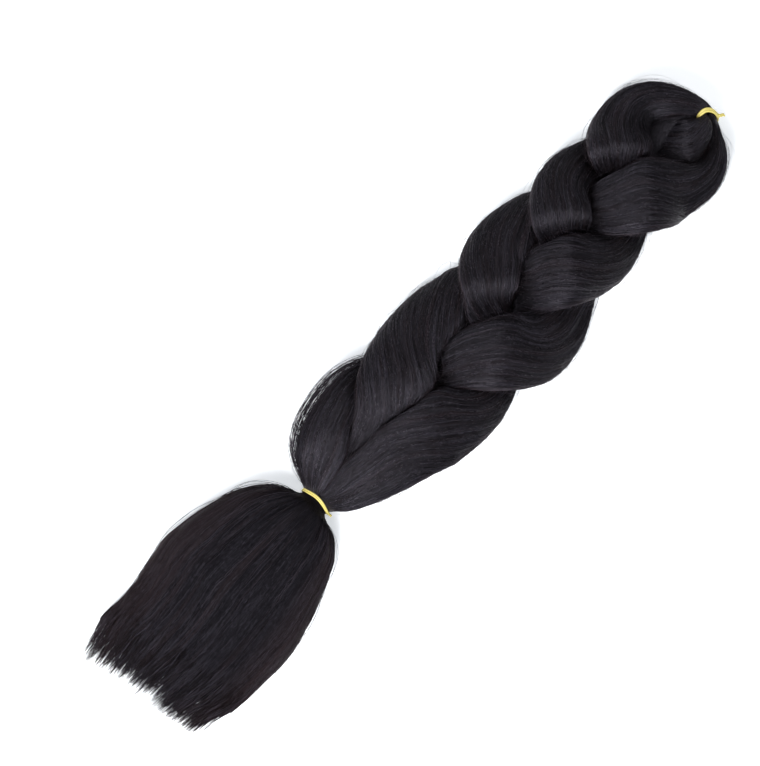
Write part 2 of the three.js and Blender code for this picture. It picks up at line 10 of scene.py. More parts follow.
import bpy
import numpy as np
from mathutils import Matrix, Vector


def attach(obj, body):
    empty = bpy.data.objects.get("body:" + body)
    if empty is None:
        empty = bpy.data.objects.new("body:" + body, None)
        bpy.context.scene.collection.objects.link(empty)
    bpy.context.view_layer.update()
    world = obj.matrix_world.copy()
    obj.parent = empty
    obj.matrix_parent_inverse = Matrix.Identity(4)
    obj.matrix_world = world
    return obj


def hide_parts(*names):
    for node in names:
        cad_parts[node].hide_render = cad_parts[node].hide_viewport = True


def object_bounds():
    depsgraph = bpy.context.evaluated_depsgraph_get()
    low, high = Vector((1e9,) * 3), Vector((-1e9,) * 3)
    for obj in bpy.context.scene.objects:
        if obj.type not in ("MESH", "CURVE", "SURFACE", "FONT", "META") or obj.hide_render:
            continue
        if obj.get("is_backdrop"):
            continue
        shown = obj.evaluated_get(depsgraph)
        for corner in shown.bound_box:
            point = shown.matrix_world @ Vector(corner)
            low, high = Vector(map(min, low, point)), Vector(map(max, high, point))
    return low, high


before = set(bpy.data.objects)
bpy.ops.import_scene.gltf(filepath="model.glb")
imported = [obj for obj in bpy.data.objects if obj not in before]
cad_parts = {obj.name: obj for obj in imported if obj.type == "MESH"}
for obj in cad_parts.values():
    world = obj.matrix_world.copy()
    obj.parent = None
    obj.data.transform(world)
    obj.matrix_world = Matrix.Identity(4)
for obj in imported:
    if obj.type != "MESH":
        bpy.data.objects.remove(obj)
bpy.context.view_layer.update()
print("frame:", ", ".join(sorted(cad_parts)))

# %% [markdown]
# ## Camera
# The photograph was taken from straight above, and the plait runs across it from the lower left
# to the upper right. A long lens hardly shows perspective, as in a product photograph. All
# lengths below are in millimetres while a shape is worked out; one helper turns them into
# metres. X runs along the plait and is 0 at the tail band, Y runs across it, Z is up.

# %% Units and camera
MM = 0.001
TAIL_BAND_PLACE = np.array([-107.589, 1.457, 0.0])  # the tail band in the frame
VIEW_WIDTH = 551.4  # what the picture shows from left to right
VIEW_MIDDLE = (94.6, 27.1)
VIEW_TURN = -45.94  # degrees
LENS = 150.0
SENSOR = 36.0
LOOK_HEIGHT = 22.0  # the height at which the view is VIEW_WIDTH wide


def metres(points):
    """Points in millimetres, measured from the tail band, as metres in the frame."""
    return (np.asarray(points, float) + TAIL_BAND_PLACE) * MM


def picture_place(right, up, height):
    """A place given by its distance right of and above the picture's middle, and its height."""
    turn = np.radians(VIEW_TURN)
    x = VIEW_MIDDLE[0] + right * np.cos(turn) - up * np.sin(turn)
    y = VIEW_MIDDLE[1] + right * np.sin(turn) + up * np.cos(turn)
    return metres([x, y, height])


camera = bpy.data.objects.new("camera", bpy.data.cameras.new("camera"))
bpy.context.scene.collection.objects.link(camera)
bpy.context.scene.camera = camera
camera.data.lens = LENS
camera.data.sensor_fit = "HORIZONTAL"
camera.data.sensor_width = SENSOR
camera.data.clip_end = 20.0
camera.location = picture_place(0, 0, LOOK_HEIGHT + VIEW_WIDTH * LENS / SENSOR)
camera.rotation_euler = (0, 0, np.radians(VIEW_TURN))
print("camera height:", round(camera.location.z, 3), "m")

# %% [markdown]
# ## Small recipes of nodes
# A finish is a small graph of nodes, and so is the light of the room. It could be joined by hand
# in the editor, but written down it comes out the same each time. These helpers add one node
# each, so that every finish further down reads as a recipe.

# %% Node helpers


def add_node(owner, kind, settings=None, values=None, links=None):
    """Adds a node to a material or a world, sets its properties and values, links its inputs."""
    tree = owner.node_tree
    node = tree.nodes.new(kind)
    for key, value in (settings or {}).items():
        setattr(node, key, value)
    for key, value in (values or {}).items():
        node.inputs[key].default_value = value
    for key, socket in (links or {}).items():
        tree.links.new(socket, node.inputs[key])
    return node


def new_material(name):
    """An empty node material with its output node."""
    material = bpy.data.materials.new(name)
    material.use_nodes = True
    material.node_tree.nodes.clear()
    add_node(material, "ShaderNodeOutputMaterial")
    return material


def finish_material(material, shader):
    """Joins the shader to the material's output."""
    output = material.node_tree.nodes["Material Output"]
    material.node_tree.links.new(shader.outputs[0], output.inputs["Surface"])
    return material


def add_noise(material, vector, scale, detail, roughness=0.5):
    """Cloudy noise on a vector, from 0 to 1."""
    return add_node(
        material, "ShaderNodeTexNoise",
        values={"Scale": scale, "Detail": detail, "Roughness": roughness}, links={"Vector": vector},
    )


def add_ramp(material, value, stops):
    """A colour for a value, blended between two stops, each a position and a colour."""
    ramp = add_node(material, "ShaderNodeValToRGB", links={"Fac": value})
    for element, (position, colour) in zip(ramp.color_ramp.elements, stops):
        element.position = position
        element.color = (*colour, 1)
    return ramp.outputs["Color"]


# %% [markdown]
# ## Light
# Hair of this kind is photographed on white in a light tent, with broad lamps and hardly any
# shadow. The strongest of three large lamps stands at the lower left, so that the rounded strands
# get a bright and a dark flank, and two weaker ones fill in. A tent that is equally bright all
# round would be simpler, but its sheen turns black hair grey, so this one is dim overhead.

# %% Light
LAMPS = [
    # name, right, up, height, side of the square, power in watts
    ("lamp_key", -500, -880, 1200, 850, 42.0),
    ("lamp_upper", -900, 1000, 1250, 1100, 9.0),
    ("lamp_right", 1300, 100, 1250, 1100, 7.0),
]
TENT_COLOUR = (0.97, 0.98, 1.0, 1)
# the tent's strength falls as one looks up from the first height to the second; 1 is overhead
TENT_STRENGTH = {"From Min": 0.55, "From Max": 0.97, "To Min": 0.54, "To Max": 0.06}


def add_lamp(name, right, up, height, side, power):
    """A square lamp at a place in the picture, turned towards the plait."""
    data = bpy.data.lights.new(name, "AREA")
    data.size = side * MM
    data.energy = power
    lamp = bpy.data.objects.new(name, data)
    bpy.context.scene.collection.objects.link(lamp)
    lamp.location = picture_place(right, up, height)
    towards = Vector(picture_place(0, 0, 0)) - lamp.location
    lamp.rotation_euler = towards.to_track_quat("-Z", "Y").to_euler()


for lamp_row in LAMPS:
    add_lamp(*lamp_row)
tent = bpy.data.worlds.new("studio")
bpy.context.scene.world = tent
tent.use_nodes = True
looked_at = add_node(tent, "ShaderNodeTexCoord")
upward = add_node(tent, "ShaderNodeSeparateXYZ", links={0: looked_at.outputs["Generated"]})
fall = add_node(
    tent, "ShaderNodeMapRange", {"interpolation_type": "SMOOTHSTEP"}, TENT_STRENGTH,
    {"Value": upward.outputs["Z"]},
)
glow = tent.node_tree.nodes["Background"]
glow.inputs["Color"].default_value = TENT_COLOUR
tent.node_tree.links.new(fall.outputs[0], glow.inputs["Strength"])
bpy.context.scene.view_settings.view_transform = "Standard"
print("lamps:", [row[0] for row in LAMPS])

# %% [markdown]
# ## From arrays to pieces
# Every piece below is worked out with numpy as whole arrays: points, faces, and values for the
# finish to read. They could be added face by face, but handing Blender whole arrays is many times
# faster, and hair has many faces.

# %% Mesh helper


def new_piece(name, points, quads, tris, material, uv=None, values=None):
    """A mesh object from whole arrays.

    points is (n, 3) in millimetres, quads (q, 4) and tris (t, 3) index it, uv gives one pair for
    each corner of the faces in that order, and values holds a number or a vector for each point.
    """
    corners = np.concatenate([quads.ravel(), tris.ravel()]).astype(np.int32)
    starts = np.concatenate([
        np.arange(len(quads)) * 4,
        len(quads) * 4 + np.arange(len(tris)) * 3,
    ]).astype(np.int32)
    mesh = bpy.data.meshes.new(name)
    mesh.vertices.add(len(points))
    mesh.vertices.foreach_set("co", metres(points).astype(np.float32).ravel())
    mesh.loops.add(len(corners))
    mesh.loops.foreach_set("vertex_index", corners)
    mesh.polygons.add(len(starts))
    mesh.polygons.foreach_set("loop_start", starts)
    if uv is not None:
        layer = mesh.uv_layers.new(name="around_along")
        layer.data.foreach_set("uv", uv.astype(np.float32).ravel())
    for key, value in (values or {}).items():
        kind, field = ("FLOAT_VECTOR", "vector") if value.ndim == 2 else ("FLOAT", "value")
        attribute = mesh.attributes.new(key, kind, "POINT")
        attribute.data.foreach_set(field, value.astype(np.float32).ravel())
    mesh.update(calc_edges=True)
    mesh.validate()
    mesh.shade_smooth()
    mesh.materials.append(material)
    piece = bpy.data.objects.new(name, mesh)
    bpy.context.scene.collection.objects.link(piece)
    triangles = 2 * len(quads) + len(tris)
    print(f"{name}: {triangles} triangles")
    return piece


# %% [markdown]
# ## The table top
# The plait lies on white paper, of which only the colour is seen. A flat sheet is enough. It is
# nearly white, a little cloudy, and glows faintly, as paper does where light comes through it.

# %% Table top
TABLE_HALF = 4000.0
TABLE_WHITES = [(0.0, (0.86, 0.87, 0.885)), (1.0, (0.885, 0.89, 0.9))]
TABLE_GLOW = (0.9, 0.95, 1.0, 1)

table_white = new_material("table_white")
table_place = add_node(table_white, "ShaderNodeTexCoord")
cloud = add_noise(table_white, table_place.outputs["Object"], 3.0, 2.0)
paper = add_node(
    table_white, "ShaderNodeBsdfPrincipled",
    values={
        "Roughness": 0.8, "Specular IOR Level": 0.1,
        "Emission Color": TABLE_GLOW, "Emission Strength": 0.5,
    },
    links={"Base Color": add_ramp(table_white, cloud.outputs["Fac"], TABLE_WHITES)},
)
finish_material(table_white, paper)
table_corners = np.array([[-1, -1, 0], [1, -1, 0], [1, 1, 0], [-1, 1, 0]]) * TABLE_HALF
table = new_piece(
    "table_top", table_corners, np.array([[0, 1, 2, 3]]), np.zeros((0, 3), int), table_white,
)
table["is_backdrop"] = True

# %% [markdown]
# ## The path of a strand
# A strand runs from the folded head through the plait to the tail band. It could be traced by
# hand, but a plait repeats itself, so its path follows from a short table: where it turns back at
# the plait's side, and a few rows for the head and the gathered lower end. Between two turns it
# lies over its neighbours, is pressed flat between them, and reaches the other side underneath.
# The frame's solids follow nearly the same rows, so the hair lies where they are.

# %% Sizes of the plait
PLAIT_LENGTH = 405.0
PLAIT_WIDTH = 112.0
PLAIT_HEIGHT = 50.0
STRAND_WIDTH = 58.0
CROSSING_THICKNESS = 29.0
TURN_THICKNESS = 42.0
CROSSING_LIFT = 11.5
CROSSING_HASTE = 0.6  # how quickly it leaves the side
CROSSING_SPREAD = 0.6  # how far it widens towards its full width where it is pressed
CROSSING_ROLL = np.radians(22.0)
# added to a strand's height halfway over, after a turn on the +Y side and on the -Y side
DIVE = {1: -6.0, -1: 3.5}
PRESS = 2.4  # 2 is an ellipse, more is fuller
MIDDLE = 0.43  # height of the plait's middle, as a share of its thickness
GATHER_REACH = 16.0  # over this length a strand turns to face its band
LEAN_REACH = 15.0
BAND_THICKNESS = 2.4
BAND_EDGE = BAND_THICKNESS * 0.7  # from a band's middle to where its hair comes free
MEETING_GAP = 0.7  # between hair pieces that end inside a band
GAP = 0.7  # between two strands pressed together

HEAD_HEADING = np.radians(52.0)
TAIL_NECK = {
    "centre": np.array([0.0, 1.0, 16.0]), "heading": np.array([-1.0, 0.0]),
    "wide": 11.5, "thick": 9.0, "flare": 1.9, "lean": 3.0,
}
HEAD_NECK = {
    "centre": np.array([0.9827 * PLAIT_LENGTH, -0.186 * PLAIT_WIDTH / 2, 19.0]),
    "heading": -np.array([np.cos(HEAD_HEADING), np.sin(HEAD_HEADING)]),
    "wide": 6.25, "thick": 6.25, "flare": 1.1, "lean": 5.0,
}
NECKS = (TAIL_NECK, HEAD_NECK)

# %% Rows of the three strands
# Each row of start and end: along, across, height, half width, half thickness, lean in degrees,
# as shares of the plait's length, half width, thickness, half a strand and half a turn.
# Each turn: along, across, half width. Each seat: across, height, half width, half thickness,
# as shares of the band's own half sizes.
STRANDS = {
    "strand_a": {
        "head_way": -1,
        "head_seat": (0, 0, 1, 1),
        "start": [
            (0.984, -0.02, 0.38, 0.25, 0.38, 0), (0.975, 0.14, 0.385, 0.32, 0.46, 0),
            (0.955, 0.365, 0.39, 0.42, 0.56, 0), (0.928, 0.54, 0.4, 0.5, 0.66, 0),
            (0.9, 0.61, 0.42, 0.54, 0.78, 0),
        ],
        "turns": [(0.864, 0.54, 0.76), (0.667, -0.366, 0.93), (0.341, 0.47, 1.0)],
        "end": [
            (0.285, 0.4, 0.58, 1.02, 0.92, 0), (0.235, 0.29, 0.6, 1.04, 0.82, 0),
            (0.18, 0.16, 0.53, 0.96, 0.72, 0), (0.115, 0.03, 0.4, 0.7, 0.6, 0),
            (0.06, -0.09, 0.26, 0.58, 0.46, 0), (0.025, -0.04, 0.25, 0.4, 0.34, 0),
        ],
        "tail_seat": (0, -0.5, 0.85, 0.55),
    },
    "strand_b": {
        "head_way": 1,
        "head_seat": (-0.4, 0, 0.75, 1),
        "start": [
            (0.967, -0.36, 0.36, 0.29, 0.42, 0), (0.942, -0.56, 0.36, 0.38, 0.52, 0),
            (0.906, -0.64, 0.38, 0.54, 0.68, 0),
        ],
        "turns": [(0.854, -0.43, 0.98), (0.541, 0.47, 0.97), (0.3, -0.5, 0.97)],
        "end": [
            (0.245, -0.38, 0.58, 1.1, 0.86, 0), (0.19, -0.28, 0.6, 1.06, 0.8, 0),
            (0.13, -0.25, 0.56, 0.86, 0.76, 0), (0.075, -0.2, 0.5, 0.66, 0.64, 0),
            (0.028, -0.13, 0.42, 0.42, 0.46, 0),
        ],
        "tail_seat": (-0.42, 0.3, 0.65, 0.75),
    },
    "strand_c": {
        "head_way": 1,
        "head_seat": (0.5, 0, 0.6, 1),
        "start": [
            (0.966, -0.26, 0.42, 0.45, 0.44, 0), (0.944, -0.24, 0.44, 0.84, 0.5, -14),
            (0.917, -0.14, 0.41, 1.0, 0.48, -20), (0.888, -0.03, 0.32, 1.0, 0.46, -20),
            (0.854, 0.09, 0.24, 0.98, 0.48, -10), (0.811, 0.26, 0.23, 0.9, 0.56, 0),
            (0.765, 0.4, 0.3, 0.88, 0.74, 0),
        ],
        "turns": [(0.716, 0.46, 0.9), (0.473, -0.59, 1.0), (0.15, 0.64, 0.66)],
        "inward": 9.0,
        "end": [
            (0.108, 0.56, 0.5, 0.72, 0.88, 0), (0.071, 0.4, 0.48, 0.7, 0.78, 0),
            (0.037, 0.25, 0.42, 0.48, 0.58, 0), (0.014, 0.17, 0.39, 0.33, 0.42, 0),
        ],
        "tail_seat": (0.45, 0.3, 0.65, 0.75),
    },
}

# %% A strand's path
# A row in millimetres has six columns: x, y, z, half width, half thickness, lean.
ROW_SCALE = np.array([
    PLAIT_LENGTH, PLAIT_WIDTH / 2, PLAIT_HEIGHT, STRAND_WIDTH / 2, TURN_THICKNESS / 2, np.pi / 180,
])


def neck_axes(neck):
    """Level arrows of length 1 across the gathered hair and along it."""
    x, y = neck["heading"]
    return np.array([y, -x, 0.0]), np.array([x, y, 0.0])


def seat_rows(neck, seat, way):
    """The two rows of a strand inside a band: in its middle, and where the strand leaves it."""
    across, height, wide, thick = seat
    side, ahead = neck_axes(neck)
    away = np.array([MEETING_GAP / 2, BAND_EDGE])[:, None]
    place = neck["centre"] + side * across * neck["wide"] + ahead * way * away
    z = neck["centre"][2] + height * neck["thick"]
    rest = [z, wide * neck["wide"], thick * neck["thick"], 0]
    return np.hstack([place[:, :2], np.tile(rest, (2, 1))])


def crossing_rows(start, end):
    """Rows from one turn towards the next, for the shares q = 0, 1/4, 1/2 and 3/4 of the way.

    The strand is flattest in the middle, by sin(pi q). It rises and sinks by sin(2 pi q), and it
    leaves the first side quickly: it has gone q (1 - haste (1 - q)) of the way along.
    """
    q = np.array([0, 0.25, 0.5, 0.75])
    flat = np.sin(np.pi * q)
    gone = q * (1 - CROSSING_HASTE * (1 - q))
    wide = start[2] + (end[2] - start[2]) * q
    side = np.sign(start[1])
    height = MIDDLE * PLAIT_HEIGHT + CROSSING_LIFT * np.sin(2 * np.pi * q) + DIVE[side] * flat**2
    return np.stack([
        (start[0] + (end[0] - start[0]) * gone) * PLAIT_LENGTH,
        (start[1] + (end[1] - start[1]) * (1 - np.cos(np.pi * q)) / 2) * PLAIT_WIDTH / 2,
        height,
        (wide + (1 - wide) * flat * CROSSING_SPREAD) * STRAND_WIDTH / 2,
        (TURN_THICKNESS + (CROSSING_THICKNESS - TURN_THICKNESS) * flat) / 2,
        side * CROSSING_ROLL * flat,
    ], axis=1)


def strand_rows(strand):
    """All rows of a strand, from the head band to the tail band."""
    turns = strand["turns"]
    last = turns[-1]
    crossings = [crossing_rows(a, b) for a, b in zip(turns, turns[1:])]
    # so much nearer the middle before its last turn
    crossings[-1][-1, 1] -= strand.get("inward", 0)
    return np.vstack([
        seat_rows(HEAD_NECK, strand["head_seat"], strand["head_way"]),
        np.array(strand["start"]) * ROW_SCALE,
        *crossings,
        np.array([last[0], last[1], MIDDLE, last[2], 1, 0]) * ROW_SCALE,
        np.array(strand["end"]) * ROW_SCALE,
        seat_rows(TAIL_NECK, strand["tail_seat"], -1)[::-1],
    ])


def flow(rows, step):
    """A cubic through the rows, in steps of about that length.

    Between rows a and b with slopes m and n over the span h, and t from 0 to 1:
    a (1 + 2t)(1 - t)^2 + m h t (1 - t)^2 + b t^2 (3 - 2t) + n h t^2 (t - 1).
    """
    span = np.linalg.norm(np.diff(rows[:, :3], axis=0), axis=1)[:, None]
    rise = np.diff(rows, axis=0) / span
    inner = (rise[:-1] * span[1:] + rise[1:] * span[:-1]) / (span[1:] + span[:-1])
    slope = np.vstack([rise[:1], inner, rise[-1:]])
    counts = np.maximum(1, np.round(span[:, 0] / step)).astype(int)
    part = np.repeat(np.arange(len(counts)), counts)
    t = (np.arange(counts.sum()) - np.repeat(np.cumsum(counts) - counts, counts)) / counts[part]
    part, t = np.append(part, len(counts) - 1), np.append(t, 1.0)[:, None]
    from_a = rows[part] * (1 + 2 * t) * (1 - t) ** 2 + slope[part] * span[part] * t * (1 - t) ** 2
    from_b = rows[part + 1] * t * t * (3 - 2 * t) + slope[part + 1] * span[part] * t * t * (t - 1)
    return from_a + from_b


# %% [markdown]
# ## The skin of a strand
# A free strand would have an oval section. In the plait each one is pressed by the other two, by
# the table and by the bands. One could push points about by hand or let a simulation settle, but
# a rule is surer: every section sends out rays, and each ray ends where the strand's own oval
# ends, or where a neighbour lies equally deep. That gives the seams between the strands without
# drawing a single one of them.

# %% Sections along a strand
SECTION_STEP = 4.5


def smooth(v):
    """3 v^2 - 2 v^3 between 0 and 1, flat outside."""
    v = np.clip(v, 0, 1)
    return v * v * (3 - 2 * v)


def bell(v):
    """e to the minus v^2: 1 at 0 and falling off to both sides."""
    return np.exp(-v * v)


def unit(v):
    """The same vectors with length 1."""
    return v / np.maximum(np.linalg.norm(v, axis=-1, keepdims=True), 1e-12)


def strand_sections(strand):
    """Upright section planes that face along the path, and squarely into each band."""
    samples = flow(strand_rows(strand), SECTION_STEP)
    plan = samples[:, :2]
    gone = np.append(0, np.cumsum(np.linalg.norm(np.diff(plan, axis=0), axis=1)))
    ends = np.vstack([plan[:1], plan, plan[-1:]])
    way = unit(ends[2:] - ends[:-2])
    near_head = 1 - smooth(gone / GATHER_REACH)[:, None]
    near_tail = 1 - smooth((gone[-1] - gone) / GATHER_REACH)[:, None]
    way = way + (HEAD_NECK["heading"] * strand["head_way"] - way) * near_head
    way = unit(way + (TAIL_NECK["heading"] - way) * near_tail)
    cos, sin = np.cos(samples[:, 5]), np.sin(samples[:, 5])
    return {
        "centre": samples[:, :3], "way": way, "gone": gone,
        "wide": samples[:, 3], "thick": samples[:, 4],
        "u": np.stack([way[:, 1] * cos, -way[:, 0] * cos, sin], axis=1),
        "v": np.stack([-way[:, 1] * sin, way[:, 0] * sin, cos], axis=1),
    }


SECTIONS = {name: strand_sections(strand) for name, strand in STRANDS.items()}
print("sections:", {name: len(s["wide"]) for name, s in SECTIONS.items()})

# %% How deep a point lies in a strand
TOUCH = 1e-4


def square_norm(u, v):
    """(|u|^p + |v|^p)^(1/p), which is 1 on a superellipse."""
    return (np.abs(u) ** PRESS + np.abs(v) ** PRESS) ** (1 / PRESS)


def depth_in(sections, points):
    """0 on a strand's middle line, 1 on its free surface and more outside, for each point.

    A point is measured in the section plane that passes through it, which lies between the
    last plane that it is ahead of and the first that it is behind.
    """
    least = np.full(len(points), np.inf)
    c, w = sections["centre"], sections["way"]
    ahead = (points[:, :2] - c[0, :2]) @ w[0]
    for j in range(1, len(c)):
        now = (points[:, :2] - c[j, :2]) @ w[j]
        hit = np.flatnonzero((ahead > -TOUCH) & (now < TOUCH))
        t = np.clip(ahead[hit] / np.maximum(ahead[hit] - now[hit], 1e-9), 0, 1)[:, None]
        centre, u, v, wide, thick = [
            sections[key][j - 1] * (1 - t) + sections[key][j] * t
            for key in ("centre", "u", "v", "wide", "thick")
        ]
        off = points[hit] - centre
        here = square_norm((off * u).sum(1) / wide[:, 0], (off * v).sum(1) / thick[:, 0])
        least[hit] = np.minimum(least[hit], here)
        ahead = now
    return least


# %% Where a ray meets a neighbour
RAYS = 96
SEARCH_STEPS = 20
FAR = 9.0  # stands for the depth of a place that no section plane passes
LEAST_RADIUS = 0.2


def away_from(place, points):
    """How far points lie from a place, seen from above."""
    return np.hypot(*np.moveaxis(points[..., :2] - np.array(place[:2]), -1, 0))


def ray_fan(own):
    """Unit rays from the middle of each section, and how far each goes to the free oval.

    An arrow is u wide cos a + v thick sin a, and the superellipse cuts it at its own length
    over (|cos a|^p + |sin a|^p)^(1/p).
    """
    turn = 2 * np.pi * np.arange(RAYS) / RAYS - np.pi / 2
    cos, sin = np.cos(turn), np.sin(turn)
    arrow = cos[:, None] * (own["u"] * own["wide"][:, None])[:, None]
    arrow = arrow + sin[:, None] * (own["v"] * own["thick"][:, None])[:, None]
    return unit(arrow), np.linalg.norm(arrow, axis=2) / square_norm(cos, sin)


def gather_limit(neck, centre, ray):
    """How far a ray goes before it leaves the gathered hair's oval near a band.

    The oval grows with the distance from the band. The ray's length r solves
    |(centre + r ray) / oval| = 1, a quadratic in r.
    """
    offset = centre - neck["centre"]
    near = away_from(neck["centre"], centre) < GATHER_REACH
    away = np.abs(offset[..., :2] @ neck["heading"])
    grown = neck["flare"] * np.maximum(0, away - BAND_EDGE)
    side = neck_axes(neck)[0][:2]
    wide, thick = neck["wide"] + grown, neck["thick"] + grown
    u0, v0 = offset[..., :2] @ side / wide, offset[..., 2] / thick
    u1, v1 = ray[..., :2] @ side / wide, ray[..., 2] / thick
    a, b, c = u1 * u1 + v1 * v1, u0 * u1 + v0 * v1, u0 * u0 + v0 * v0 - 1
    root = b * b - a * c
    reach = np.maximum(0, (np.sqrt(np.maximum(root, 0)) - b) / a) * (root > 0)
    return np.where(near, reach, np.inf)


def pressed_radii(own, neighbours, ray, free):
    """How far each ray goes before the table, a band's gathered hair or a neighbour stops it."""
    centre = np.broadcast_to(own["centre"][:, None], ray.shape)
    floor = np.where(ray[..., 2] < 0, centre[..., 2] / np.maximum(-ray[..., 2], 1e-9), np.inf)
    radius = np.minimum(free, floor)
    for neck in NECKS:
        radius = np.minimum(radius, gather_limit(neck, centre, ray))
    share = np.arange(1, SEARCH_STEPS + 1) / SEARCH_STEPS
    for other in neighbours:
        r = radius[..., None] * share
        points = (centre[:, :, None] + ray[:, :, None] * r[..., None]).reshape(-1, 3)
        mine = np.minimum(r / free[..., None], depth_in(own, points).reshape(r.shape))
        room = depth_in(other, points).reshape(r.shape) - mine
        room = np.where(np.isfinite(room), room, FAR)
        met = room <= 0
        first = met.argmax(axis=2)[..., None]
        here = np.take_along_axis(room, first, 2)[..., 0]
        before = np.take_along_axis(room, np.maximum(first - 1, 0), 2)[..., 0]
        part = np.where(first[..., 0] > 0, before / np.maximum(before - here, 1e-9), 1)
        cut = radius * (first[..., 0] + part) / SEARCH_STEPS - GAP / 2
        radius = np.where(met.any(axis=2), np.maximum(LEAST_RADIUS, cut), radius)
    return radius


# %% Ease the pressed places
BESIDE_EASE = 1.25 ** (20 / RAYS)
ALONG_EASE = 0.8
EASE_PASSES = 30
SOFTEN_PASSES = 3


def ease(radius):
    """Hair bends gently: a pressed place draws in the places beside it, and edges soften."""
    for _ in range(EASE_PASSES):
        beside = np.minimum(np.roll(radius, 1, 1), np.roll(radius, -1, 1)) * BESIDE_EASE + 0.1
        ends = np.vstack([radius[:1], radius, radius[-1:]])
        along = np.minimum(ends[2:], ends[:-2]) + SECTION_STEP * ALONG_EASE
        radius = np.minimum(radius, np.minimum(beside, along))
    for _ in range(SOFTEN_PASSES):
        radius = (np.roll(radius, 1, 1) + 2 * radius + np.roll(radius, -1, 1)) / 4
        ends = np.vstack([radius[:1], radius, radius[-1:]])
        radius = (ends[2:] + 2 * radius + ends[:-2]) / 4
    return radius


# %% [markdown]
# ## A fine grid on each strand
# The skin has to be smooth under thousands of fibres. Pressing a fine grid would take minutes,
# so the sections are pressed on a coarse one. A cubic then makes the grid finer, and the points
# round each section are spaced evenly, starting at its underside. A place on a strand is given by
# two numbers: s along it and u round it, both from 0 to 1. Hair runs along s.

# %% The fine grid
FINER_ALONG = 3
FINER_AROUND = 3
AROUND = 240
RELAX_PASSES = 40
RELAX_LEAST = 0.04
BARE_FROM = 0.72  # pressed to less than this share of its free size, hair is covered
# hair eased below OPEN_FROM of its free size gets the full painted shade of a seam
OPEN_FROM = 0.66  # eased to this share of it, hair lies in full shade
# where the fold leaves a hollow: its lowest height, its painted shade,
# and its reach and depth on each strand
HOLLOW = {
    "place": (366.0, 19.0), "least": 8.0, "shade": 0.9,
    "strands": {"strand_c": (16.0, 15.0), "strand_a": (12.0, 12.0)},
}
# the last turn before the tail band is slack, and its main mass keeps back from the rim
SLACK = {"strand": "strand_c", "place": 44.0, "reach": 32.0, "depth": 5.0}
LIE_ANGLE = np.radians(42)
TWIST_SPAN = (0.12, 0.93)  # shares of the plait's length between which the hair turns


def finer(a, factor, closed):
    """A cubic between the rows of a, factor times as many; closed joins the last to the first."""
    n = len(a)
    at = np.arange(0, n * factor if closed else (n - 1) * factor + 1) / factor
    i = np.floor(at).astype(int)
    t = (at - i).reshape((-1,) + (1,) * (a.ndim - 1))
    take = (lambda k: a[(i + k) % n]) if closed else (lambda k: a[np.clip(i + k, 0, n - 1)])
    p, q, r, s = [take(k) for k in (-1, 0, 1, 2)]
    return (
        2 * q + (r - p) * t + (2 * p - 5 * q + 4 * r - s) * t**2 + (3 * q - p - 3 * r + s) * t**3
    ) / 2


def finer_grid(a):
    """The grid made finer along the strand and then round it, where it closes."""
    along = finer(a, FINER_ALONG, False)
    return np.swapaxes(finer(np.swapaxes(along, 0, 1), FINER_AROUND, True), 0, 1)


def lean(points):
    """Near a band the hair's upper side leans back along the hair, as the band does."""
    out = points.copy()
    for neck in NECKS:
        near = bell(away_from(neck["centre"], points) / LEAN_REACH)
        lift = np.clip((points[..., 2] - neck["centre"][2]) / neck["thick"], -1.3, 1.3)
        out[..., :2] -= neck["heading"] * (neck["lean"] * lift * near)[..., None]
    return out


def strand_twist(sections, girth):
    """How far round the strand its hair has turned at each section, as a share of its girth.

    At a side of the plait the hair comes from beneath, wraps round the rim and comes back over
    the top, so on the surface it runs at LIE_ANGLE to the plait everywhere. Where the path
    itself is less slanted, the hair makes up for it: it turns by tan(lie - slant) per length.
    """
    slant = np.arcsin(np.clip(np.abs(sections["way"][:, 1]), 0, 1))
    missing = np.tan(np.clip(LIE_ANGLE - slant, 0, LIE_ANGLE)) * np.sign(sections["centre"][:, 1])
    missing = missing * smooth(np.abs(sections["centre"][:, 1]) / 12)
    along = sections["centre"][:, 0] / PLAIT_LENGTH
    after, before = TWIST_SPAN
    missing = missing * smooth((along - after) / 0.12) * smooth((before - along) / 0.06)
    gone = sections["gone"]
    return np.append(0, np.cumsum((missing[1:] + missing[:-1]) / 2 * np.diff(gone))) / girth


def even_rings(rings, count, *others):
    """Every ring as `count` points evenly spaced round it, with other values carried along."""
    closed = np.concatenate([rings, rings[:, :1]], axis=1)
    steps = np.linalg.norm(np.diff(closed, axis=1), axis=2)
    gone = np.concatenate([np.zeros((len(rings), 1)), np.cumsum(steps, axis=1)], axis=1)
    want = gone[:, -1:] * np.arange(count) / count
    at = np.stack([np.searchsorted(g, w, side="right") - 1 for g, w in zip(gone, want)])
    at = np.clip(at, 0, rings.shape[1] - 1)
    low = np.take_along_axis(gone, at, 1)
    t = (want - low) / np.maximum(np.take_along_axis(gone, at + 1, 1) - low, 1e-9)
    rows = np.arange(len(rings))[:, None]

    def pick(v):
        v = np.concatenate([v, v[:, :1]], axis=1)
        k = t.reshape(t.shape + (1,) * (v.ndim - 2))
        return v[rows, at] * (1 - k) + v[rows, at + 1] * k

    return [pick(v) for v in (rings, *others)]


def outward(grid):
    """Unit normals of a grid of points that is closed round its second axis."""
    ends = np.concatenate([grid[:1], grid, grid[-1:]])
    along = ends[2:] - ends[:-2]
    around = np.roll(grid, -1, 1) - np.roll(grid, 1, 1)
    return unit(np.cross(along, around))


